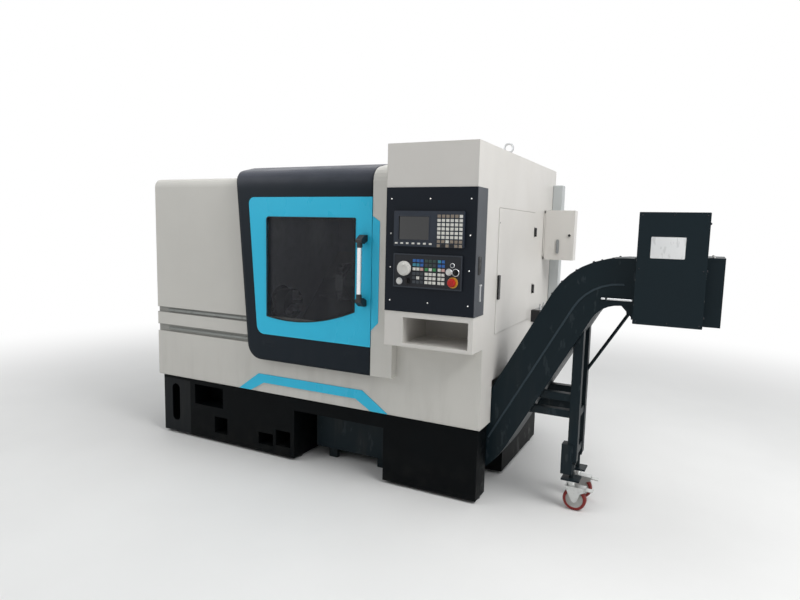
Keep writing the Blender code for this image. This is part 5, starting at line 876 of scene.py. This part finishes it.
class LATHE_OT_fasteners(bpy.types.Operator):
    """Drive the screws and bolts that hold the fascia, guard, conveyor and covers"""

    bl_idname = "lathe.fasteners"
    bl_label = "Drive the fasteners"

    def execute(self, context):
        _, self.sizes, _ = settings()
        self.zinc = metal("screw_zinc", (0.74, 0.74, 0.72, 1), 0.28).done()
        self.black = metal("screw_black", (0.05, 0.05, 0.055, 1), 0.42).done()
        self.fascia()
        self.conveyor()
        self.covers()
        return {"FINISHED"}

    def drive(self, name, places, kind, width, height, facing, material):
        size = {"Width": width, "Height": height, "Seed": self.sizes.seed}
        grown(name, places, screw_trees()[kind], size, facing, material, "machine")

    def fascia(self):
        low, high = machine_box("fascia_plate")
        rows = [low.z + rise for rise in (0.056, 0.232, 0.408, 0.587)]
        sides = (low.x + 0.030, high.x - 0.035)
        places = [(x, low.y, z) for z in rows for x in sides]
        places += [(sum(sides) / 2, low.y, z) for z in (rows[0], rows[-1])]
        self.drive("fascia_screws", places, "cross", self.sizes.panel_screw, 0.0022, FRONT, self.zinc)
        low, high = machine_box("cnc_unit")
        edge, front = 0.005, low.y + 0.0014
        columns = even(low.x + 0.008, high.x - 0.008, 4)
        places = [(x, front, high.z - edge) for x in columns]
        places += [(x, front, low.z + edge) for x in columns[1::2]]
        self.drive("display_screws", places, "socket", 0.0055, 0.0012, FRONT, self.black)

    def conveyor(self):
        low, high = machine_box("drive_guard")
        edge, middle = 0.014, (low.z + high.z) / 2
        columns = even(low.x + edge, high.x - edge, 3)
        places = [(x, low.y, z) for z in (low.z + edge, high.z - edge) for x in columns]
        places += [(x, low.y, middle) for x in columns[::2]]
        self.drive("guard_screws", places, "cross", 0.0065, 0.0020, FRONT, self.black)
        places = [(high.x, low.y + 0.03, z) for z in (low.z + 0.05, middle, high.z - 0.05)]
        self.drive("guard_side_bolts", places, "bolt", 0.010, 0.005, RIGHT, self.black)
        low, high = machine_box("conveyor_head")
        rows = (low.y + 0.025, high.y - 0.030)
        places = [(x, y, high.z) for y in rows for x in even(low.x + 0.06, high.x - 0.05, 4)]
        self.drive("head_bolts", places, "bolt", self.sizes.bolt, 0.0065, UP, self.zinc)
        landings = []
        for turn in RIM_TURNS:
            way = Vector((cos(radians(turn)), 0, sin(radians(turn))))
            for y in RIM_ROWS:
                start = Vector((BEND_CENTRE[0], y, BEND_CENTRE[1])) + way * RIM_REACH
                landings.append(landed("conveyor_body", start, -way))
        places, ways = (list(column) for column in zip(*landings))
        self.drive("rim_bolts", places, "bolt", self.sizes.bolt * 0.8, 0.005, ways, self.black)

    def covers(self):
        low, high = machine_box("left_cover")
        rows = even(low.z + 0.05, high.z - 0.05, 4)
        places = [(low.x, y, z) for z in rows for y in (low.y + 0.10, high.y - 0.06)]
        self.drive("end_cover_screws", places, "socket", self.sizes.cover_screw, 0.0028, -RIGHT, self.zinc)
        low, high = machine_box("rear_cover")
        rows = even(low.z + 0.05, high.z - 0.05, 3)
        places = [(x, high.y, z) for z in rows for x in even(low.x + 0.05, high.x - 0.05, 5)]
        self.drive("rear_cover_screws", places, "socket", self.sizes.cover_screw, 0.0028, BACK, self.zinc)


KEY_COLOURS = {
    "white": srgb(222, 221, 214),
    "dun": srgb(142, 131, 118),
    "black": srgb(26, 27, 29),
    "blue": srgb(52, 104, 176),
    "teal": srgb(66, 142, 164),
    "sea_green": srgb(52, 70, 66),
    "green": srgb(64, 138, 84),
    "pink": srgb(208, 170, 164),
    "slate": srgb(58, 64, 70),
}
KEYPAD = (
    "dun dun dun dun dun white",
    *("white white white white white white",) * 5,
    "dun dun white dun dun dun",
    "dun black dun black dun dun",
)
PANEL_GROUPS = (
    ("blue blue blue", "teal teal blue", "white white pink"),
    ("sea_green sea_green sea_green", "slate sea_green slate", "green white green"),
    ("teal blue", "blue blue", "white pink"),
    ("slate slate slate", "slate white slate", "slate slate slate"),
    ("white white white",) * 3,
    ("white white",) * 3,
)
PANEL_COLUMNS = ((0.121, 0.164), (0.190, 0.234), (0.262, 0.283))
PANEL_ROWS = ((0.142, 0.099), (0.075, 0.032))


def lettered(columns, rows, names, front):
    """Sorts the places of a block of keys by their colours."""
    found = {}
    for up, line in zip(rows, names):
        for across, name in zip(columns, line.split()):
            found.setdefault(name, []).append((across, front, up))
    return found


class LATHE_OT_keys(bpy.types.Operator):
    """Set the keycaps of the display unit and of the operator panel"""

    bl_idname = "lathe.keys"
    bl_label = "Set the keycaps"

    def execute(self, context):
        _, sizes, _ = settings()
        tree = screw_trees()["block"]
        places = {}
        for found in (self.keypad(), *self.panel()):
            for name, where in found.items():
                places.setdefault(name, []).extend(where)
        size = {"Width": sizes.key, "Length": sizes.key * 0.885, "Height": 0.0034}
        caps = {}
        for name, where in places.items():
            caps[name] = self.cap(name)
            slot = "white_plastic" if name == "white" else "black_plastic"
            grown(f"{name}_keys", where, tree, size, FRONT, caps[name], "machine")
        low, _ = machine_box("cnc_unit")
        soft = [(x, low.y + 0.0015, low.z + 0.016) for x in even(low.x + 0.016, low.x + 0.210, 7)]
        size = {"Width": 0.0146, "Length": 0.0086, "Height": 0.0034}
        grown("soft_keys", soft, tree, size, FRONT, caps["white"], "machine")
        return {"FINISHED"}

    def cap(self, name):
        cap = moulded(f"{name}_key", KEY_COLOURS[name], 0.36, 900)
        thumbed = cap.ramp(cap.noise(90, 3), 0.45, 0.7)
        cap.paint(thumbed * 0.12, srgb(96, 92, 84))
        return cap.done()

    def keypad(self):
        low, high = machine_box("cnc_unit")
        columns = even(high.x - 0.134, high.x - 0.016, 6)
        rows = even(high.z - 0.0255, low.z + 0.009, 8)
        return lettered(columns, rows, KEYPAD, low.y + 0.0015)

    def panel(self):
        low, high = machine_box("operator_panel")
        face = high.y - 0.008
        groups = []
        blocks = [(across, up) for up in PANEL_ROWS for across in PANEL_COLUMNS]
        for (across, up), names in zip(blocks, PANEL_GROUPS):
            columns = even(low.x + across[0], low.x + across[1], len(names[0].split()))
            rows = even(low.z + up[0], low.z + up[1], 3)
            groups.append(lettered(columns, rows, names, face))
        return groups


def window_outline(grow):
    """The window's edge: small radii at its upper corners and a shallow arc below."""
    low, high = machine_box("door_window")
    lap = 0.012
    left, right, top = low.x + lap - grow, high.x - lap + grow, high.z - lap + grow
    low_left, low_right, sag, steps = 0.944 - grow, 1.020 - grow, 0.048, 24
    outline = []
    for step in range(steps + 1):
        share = step / steps
        level = low_left + (low_right - low_left) * share - 4 * sag * share * (1 - share)
        outline.append((left + (right - left) * share, level))
    for centre, radius, start in ((right, 0.008, 0.0), (left, 0.018, pi / 2)):
        middle = centre + (radius if start else -radius)
        for step in range(7):
            turn = start + pi / 2 * step / 6
            outline.append((middle + radius * cos(turn), top - radius + radius * sin(turn)))
    return outline


def ring(name, inner, outer, height, segments=40):
    """A flat ring with eased edges, its foot on the ground and its axis upright."""
    ease = min((outer - inner) * 0.3, height * 0.4)
    profile = [(inner, 0), (outer, 0), (outer, height - ease), (outer - ease, height)]
    profile += [(inner + ease, height), (inner, height - ease)]
    return turned_shape(name, profile, segments)


# Rings round the operator panel's controls: place across and up from its lower left corner,
# inner radius, outer radius and height
BUTTON_RINGS = (
    (0.036, 0.032, 0.0136, 0.0175, 0.0036),
    (0.315, 0.092, 0.0136, 0.0175, 0.0036),
    (0.351, 0.091, 0.0160, 0.0195, 0.0030),
    (0.333, 0.126, 0.0088, 0.0125, 0.0040),
)
STOP_COLLAR = ((0.337, 0.040, 0.0118, 0.0280, 0.0046),)
DIAL_SEATS = ((0.085, 0.035, 0.0160, 0.0195, 0.0030), (0.067, 0.100, 0.0388, 0.0425, 0.0026))

# Plates on the fascia's right side: corners and corner radius, thickness and eased edge
PORT_COVER = ((-0.016, -0.041, 0.016, 0.041, 0.0025), 0.0016, 0.0005)
PORT_GRIPS = [
    ((-0.009, up - 0.0009, 0.009, up + 0.0009, 0.0008), 0.0026, 0.0004) for up in (-0.030, -0.0265, -0.023)
]
SIDE_CATCH = (
    ((-0.011, -0.044, 0.011, 0.044, 0.004), 0.0016, 0.0005),
    ((-0.018, 0.036, 0.014, 0.044, 0.003), 0.0048, 0.0012),
    ((-0.004, -0.030, 0.004, 0.038, 0.003), 0.0034, 0.0010),
)

# The port's frame: outer and inner corners, with their radii
PORT_FRAME = ((-0.0215, -0.0465, 0.0215, 0.0465, 0.005), (-0.0165, -0.0415, 0.0165, 0.0415, 0.003))

# Places (y, z) of the port and the catch on that side, in the machine's own datum
PORT_PLACE = (-0.0985, 1.3205)
CATCH_PLACE = (-0.075, 1.180)

# Corners and radius of the blank plate, across from the guard's left edge, and of the cover behind
# the slot in the side box's lid, in the machine's own datum
BLANK_PLATE = (0.059, 1.385, 0.207, 1.485, 0.004)
SLOT_COVER = (2.4925, 1.352, 2.5115, 1.448, 0.009)


class LATHE_OT_trim(bpy.types.Operator):
    """Fit the window seal, screen glass, rings, port cover, side catch and blank plate"""

    bl_idname = "lathe.trim"
    bl_label = "Fit the trim"

    def execute(self, context):
        self.black = moulded("cover_plastic", srgb(14, 15, 16), 0.38).done()
        self.satin = metal("satin_metal", (0.74, 0.75, 0.76, 1), 0.28, (1, 1, 0.1), 0.1).done()
        self.seal()
        self.display()
        self.panel_rings()
        self.side_fittings()
        self.plates()
        return {"FINISHED"}

    def seal(self):
        rubber = moulded("seal_rubber", srgb(20, 21, 22), 0.55, 400).done()
        back = machine_box("door_panel")[1].y - 0.0036
        outer, inner = window_outline(0.0035), window_outline(-0.0025)
        shape = solid_shape("window_seal", outer, 0.0035, 0.001, [inner])
        add_piece("window_seal", placed(shape, (0, back, 0)), rubber, "door")

    def display(self):
        low, _ = machine_box("cnc_unit")
        front = low.y + 0.0015
        left, right, bottom, top = low.x + 0.0285, low.x + 0.1995, low.z + 0.0345, low.z + 0.1535
        glass = Finish("screen_glass", srgb(13, 16, 19), 0.06, Coat_Weight=0.6, Coat_Roughness=0.03)
        haze = glass.ramp(glass.noise(9, 3), 0.4, 0.8)
        glass.roughness = glass.ramp(haze, 0.0, 1.0, 0.05, 0.16)
        edge = rounded_box(left, bottom, right, top, 0.002)
        plate = placed(solid_shape("screen_glass", edge, 0.0012, 0.0003), (0, front + 0.0039, 0))
        add_piece("screen_glass", plate, glass.done(), "machine")
        rim = 0.004
        outer = rounded_box(left - rim, bottom - rim, right + rim, top + rim, rim)
        frame = solid_shape("screen_frame", outer, 0.0016, 0.0005, [edge[::-1]])
        case = moulded("screen_surround", srgb(40, 46, 56), 0.4).done()
        add_piece("screen_frame", placed(frame, (0, front - 0.0002, 0)), case, "machine")

    def panel_rings(self):
        amber = moulded("stop_collar", srgb(222, 158, 52), 0.34).done()
        dark = moulded("dial_seat", srgb(30, 32, 36), 0.4).done()
        self.rings("button_rings", BUTTON_RINGS, self.satin, "steel")
        self.rings("stop_collar", STOP_COLLAR, amber, "red_plastic")
        self.rings("dial_seats", DIAL_SEATS, dark, "black_plastic")

    def rings(self, name, rows, material, slot):
        low, high = machine_box("operator_panel")
        face = high.y - 0.0081
        shapes = []
        for across, up, inner, outer, height in rows:
            place = (low.x + across, face, low.z + up)
            shapes.append(placed(ring("ring", inner, outer, height), place, facing(FRONT)))
        add_piece(name, merged(name, shapes), material, "machine")

    def side_fittings(self):
        side = machine_box("fascia_plate")[1].x - 0.0001
        turn = Matrix.Rotation(pi / 2, 4, "Z")
        edge, hole = (rounded_box(*corners) for corners in PORT_FRAME)
        port = [solid_shape("port_frame", edge, 0.0024, 0.0007, [hole[::-1]])]
        port += self.plates_of(PORT_COVER, *PORT_GRIPS)
        shape = placed(merged("port_cover", port), (side, *PORT_PLACE), turn)
        add_piece("port_cover", shape, self.black, "machine")
        shape = placed(merged("side_catch", self.plates_of(*SIDE_CATCH)), (side, *CATCH_PLACE), turn)
        add_piece("side_catch", shape, self.satin, "machine")

    def plates_of(self, *rows):
        return [solid_shape("plate", rounded_box(*corners), *sizes) for corners, *sizes in rows]

    def plates(self):
        blank = Finish("blank_plate", srgb(232, 233, 233), 0.42)
        scuff = blank.ramp(blank.noise(60, 5, (1, 1, 0.3)), 0.55, 0.62)
        blank.paint(scuff * 0.25, srgb(150, 152, 152))
        blank.raise_by(blank.noise(500, 2) * 0.3)
        left = machine_box("drive_guard")[0].x
        edge = [(left + across, up) for across, up in rounded_box(*BLANK_PLATE)]
        self.fit("blank_plate", edge, 0.0008, 0.0002, "drive_guard", blank, "machine", "white_plastic")
        sight = moulded("slot_cover", srgb(138, 140, 141), 0.4)
        edge = rounded_box(*SLOT_COVER)
        self.fit("slot_cover", edge, 0.0016, 0.0005, "side_box_lid", sight, "side_box_lid", "grey_paint")

    def fit(self, name, edge, thickness, ease, carrier, finish, body, slot):
        """Lays a plate on the front of the node that carries it."""
        front = machine_box(carrier)[0].y + 0.0001
        shape = placed(solid_shape(name, edge, thickness, ease), (0, front, 0))
        add_piece(name, shape, finish.done(), body)


# Half section of a quarter-turn lock with its slot sunk in the middle, as (radius, height)
LOCK_PROFILE = (
    (0, 0),
    (0.011, 0),
    (0.011, 0.0008),
    (0.0095, 0.0024),
    (0.005, 0.0024),
    (0.004, 0.0012),
    (0, 0.0012),
)
LOCK_INSET = 0.035

# The rows of louvres beside the rear panel, as shares of the rear cover's width, and behind the
# left cover, as places across in the machine's own datum
REAR_SHARES = (0.72, 0.88)
LEFT_LOUVRES = (0.15, 0.31, 0.47)


class LATHE_OT_service(bpy.types.Operator):
    """Fit the service panels and louvres at the back and at the headstock end"""

    bl_idname = "lathe.service"
    bl_label = "Fit the service panels"

    def execute(self, context):
        paint, _, _ = settings()
        sheet = powder_coat("service_panel_paint", paint.body, soil=0.04).done()
        lock = metal("quarter_turn_lock", (0.42, 0.42, 0.43, 1), 0.35).done()
        low, high = machine_box("rear_cover")
        level, wide = (low.z + high.z) / 2, high.x - low.x
        self.panel("rear_service_panel", (low.x + wide * 0.34, high.y, level), pi, (0.52, 0.62), sheet, lock)
        rows = even(low.z + 0.25, high.z - 0.25, 18)
        places = [(low.x + wide * share, high.y, z) for z in rows for share in REAR_SHARES]
        low, high = machine_box("left_cover")
        where = (low.x, (low.y + high.y) / 2, (low.z + high.z) / 2)
        self.panel("end_service_panel", where, -pi / 2, (0.62, 0.66), sheet, lock)
        places += [(x, high.y, z) for z in rows for x in LEFT_LOUVRES]
        slat = {"Width": 0.13, "Length": 0.008, "Height": 0.004}
        grown("rear_louvres", places, screw_trees()["block"], slat, BACK, sheet, "machine")
        return {"FINISHED"}

    def panel(self, name, where, turn, size, sheet, lock):
        """A flat cover with rounded corners and a quarter-turn lock near each corner."""
        wide, tall = size[0] / 2, size[1] / 2
        spin = Matrix.Rotation(turn, 4, "Z")
        plate = solid_shape(name, rounded_box(-wide, -tall, wide, tall, 0.012), 0.0025, 0.0008)
        add_piece(name, placed(plate, where, spin), sheet, "machine")
        shapes = []
        for across in (LOCK_INSET - wide, wide - LOCK_INSET):
            for up in (LOCK_INSET - tall, tall - LOCK_INSET):
                spot = Vector(where) + spin @ Vector((across, -0.0024, up))
                dome = turned_shape("lock", LOCK_PROFILE, 24)
                shapes.append(placed(dome, spot, facing(spin @ FRONT)))
        add_piece(f"{name}_locks", merged(f"{name}_locks", shapes), lock, "machine")


# The camera's place, and its heading, tilt and roll in radians, as solved from the machine's edges
CAMERA_PLACE = DATUM + Vector((3.3992, -2.9335, 1.4936))
CAMERA_TURN = (0.4698, -0.1186, -0.0237)

# The lamps: name, place, what they aim at and width
LAMPS = (
    ("key", (4.2, -1.6, 4.6), (0.6, 0.0, 0.9), 3.2),
    ("fill", (-3.6, -3.6, 3.4), (-0.6, -0.4, 0.9), 3.0),
    ("top", (0.2, 0.1, 5.2), (0.2, 0.0, 0.0), 4.0),
)


class LATHE_OT_stage(bpy.types.Operator):
    """Lay the floor, hang the lamps and set the camera"""

    bl_idname = "lathe.stage"
    bl_label = "Set the stage"

    def execute(self, context):
        _, _, stage = settings()
        scene = context.scene
        self.lay_floor(stage)
        self.light(scene, stage)
        self.set_camera(scene, stage)
        return {"FINISHED"}

    def lay_floor(self, stage):
        reach = 40.0
        shape = bmesh.new()
        bmesh.ops.create_grid(shape, x_segments=1, y_segments=1, size=reach)
        mesh = bpy.data.meshes.new("floor")
        shape.to_mesh(mesh)
        shape.free()
        floor = bpy.data.objects.new("floor", mesh)
        bpy.context.scene.collection.objects.link(floor)
        tone = Finish("floor", tuple(stage.floor), 0.7)
        tone.shade(tone.ramp(tone.noise(1.2, 4), 0.3, 0.7, 0.985, 1.015))
        material = tone.done()
        self.fade(tone)
        mesh.materials.append(material)

    def fade(self, tone):
        """Lets the floor run out into the white background, to the eye and in gloss and glass."""
        away = tone.math("SQRT", tone.x * tone.x + tone.y * tone.y)
        far = tone.ramp(away, 2.6, 6.5)
        white = tone.node("ShaderNodeEmission", None, {"Color": (1, 1, 1, 1), "Strength": 1.0})
        plain = Value(tone, tone.shader.outputs[0])
        inputs = {0: far * tone.backdrop_rays(), 1: plain, 2: white}
        mixed = tone.node("ShaderNodeMixShader", None, inputs)
        tone.feed(tone.tree.nodes["Material Output"].inputs["Surface"], mixed)

    def light(self, scene, stage):
        """Fills the sky with even light, white to the eye, and hangs three soft lamps."""
        scene.world = bpy.data.worlds.new("sky")
        scene.world.use_nodes = True
        sky = Tree(scene.world.node_tree)
        place = sky.node("ShaderNodeTexCoord", output="Generated")
        upward = sky.node("ShaderNodeSeparateXYZ", None, {0: place}, "Z")
        inputs = {"Value": upward, "From Min": -0.1, "From Max": 0.9, "To Min": 0.35, "To Max": 1.35}
        height = sky.node("ShaderNodeMapRange", {"interpolation_type": "SMOOTHSTEP"}, inputs)
        inputs = {"Color": (0.96, 0.98, 1.0, 1.0), "Strength": height * stage.world}
        even_light = sky.node("ShaderNodeBackground", None, inputs)
        white = sky.node("ShaderNodeBackground", None, {"Color": (1.0, 1.0, 1.0, 1.0)})
        inputs = {0: sky.backdrop_rays(), 1: even_light, 2: white}
        choice = sky.node("ShaderNodeMixShader", None, inputs)
        sky.feed(sky.tree.nodes["World Output"].inputs["Surface"], choice)
        for name, place, aim, width in LAMPS:
            self.hang(name, place, aim, width, getattr(stage, f"{name}_power"))

    def hang(self, name, place, aim, size, power):
        lamp = bpy.data.lights.new(name, "AREA")
        lamp.shape = "DISK"
        lamp.size = size
        lamp.energy = power
        hung = bpy.data.objects.new(name, lamp)
        hung.location = place
        hung.rotation_euler = (Vector(aim) - Vector(place)).to_track_quat("-Z", "Y").to_euler()
        bpy.context.scene.collection.objects.link(hung)

    def set_camera(self, scene, stage):
        """Stands the camera where it was in front of the machine, a little tilted and rolled."""
        camera = bpy.data.objects.new("camera", bpy.data.cameras.new("camera"))
        camera.data.lens = stage.lens
        camera.data.sensor_width = 36.0
        turn = Matrix()
        for angle, axis in zip(CAMERA_TURN, "ZXY"):
            turn = turn @ Matrix.Rotation(angle, 4, axis)
        level = Matrix.Rotation(radians(90), 4, "X")
        camera.matrix_world = Matrix.Translation(CAMERA_PLACE) @ turn @ level
        scene.collection.objects.link(camera)
        scene.camera = camera
        scene.view_settings.view_transform = "Standard"


OPERATORS = (
    LATHE_OT_enclosure,
    LATHE_OT_hood,
    LATHE_OT_cabinet,
    LATHE_OT_machinery,
    LATHE_OT_base,
    LATHE_OT_conveyor,
    LATHE_OT_controls,
    LATHE_OT_keys,
    LATHE_OT_trim,
    LATHE_OT_service,
    LATHE_OT_fasteners,
    LATHE_OT_stage,
)


class LATHE_PT_panel(bpy.types.Panel):
    """Lists what the add-on makes, with its settings"""

    bl_idname = "LATHE_PT_panel"
    bl_label = "Turning lathe"
    bl_space_type = "VIEW_3D"
    bl_region_type = "UI"
    bl_category = "Lathe"

    def draw(self, context):
        layout = self.layout
        for group in settings():
            box = layout.box()
            for name in group.bl_rna.properties.keys():
                if name not in {"rna_type", "name"}:
                    box.prop(group, name)
        for operator in OPERATORS:
            layout.operator(operator.bl_idname)


GROUPS = {
    "lathe_paint": PaintSettings,
    "lathe_fasteners": FastenerSettings,
    "lathe_stage": StageSettings,
}


def register():
    for group in GROUPS.values():
        bpy.utils.register_class(group)
    for name, group in GROUPS.items():
        setattr(bpy.types.Scene, name, bpy.props.PointerProperty(type=group))
    for made in (*OPERATORS, LATHE_PT_panel):
        bpy.utils.register_class(made)


def unregister():
    for made in (LATHE_PT_panel, *reversed(OPERATORS)):
        bpy.utils.unregister_class(made)
    for name in GROUPS:
        delattr(bpy.types.Scene, name)
    for group in reversed(GROUPS.values()):
        bpy.utils.unregister_class(group)


def main():
    register()
    for operator in OPERATORS:
        group, name = operator.bl_idname.split(".")
        getattr(getattr(bpy.ops, group), name)()


if __name__ == "__main__":
    main()
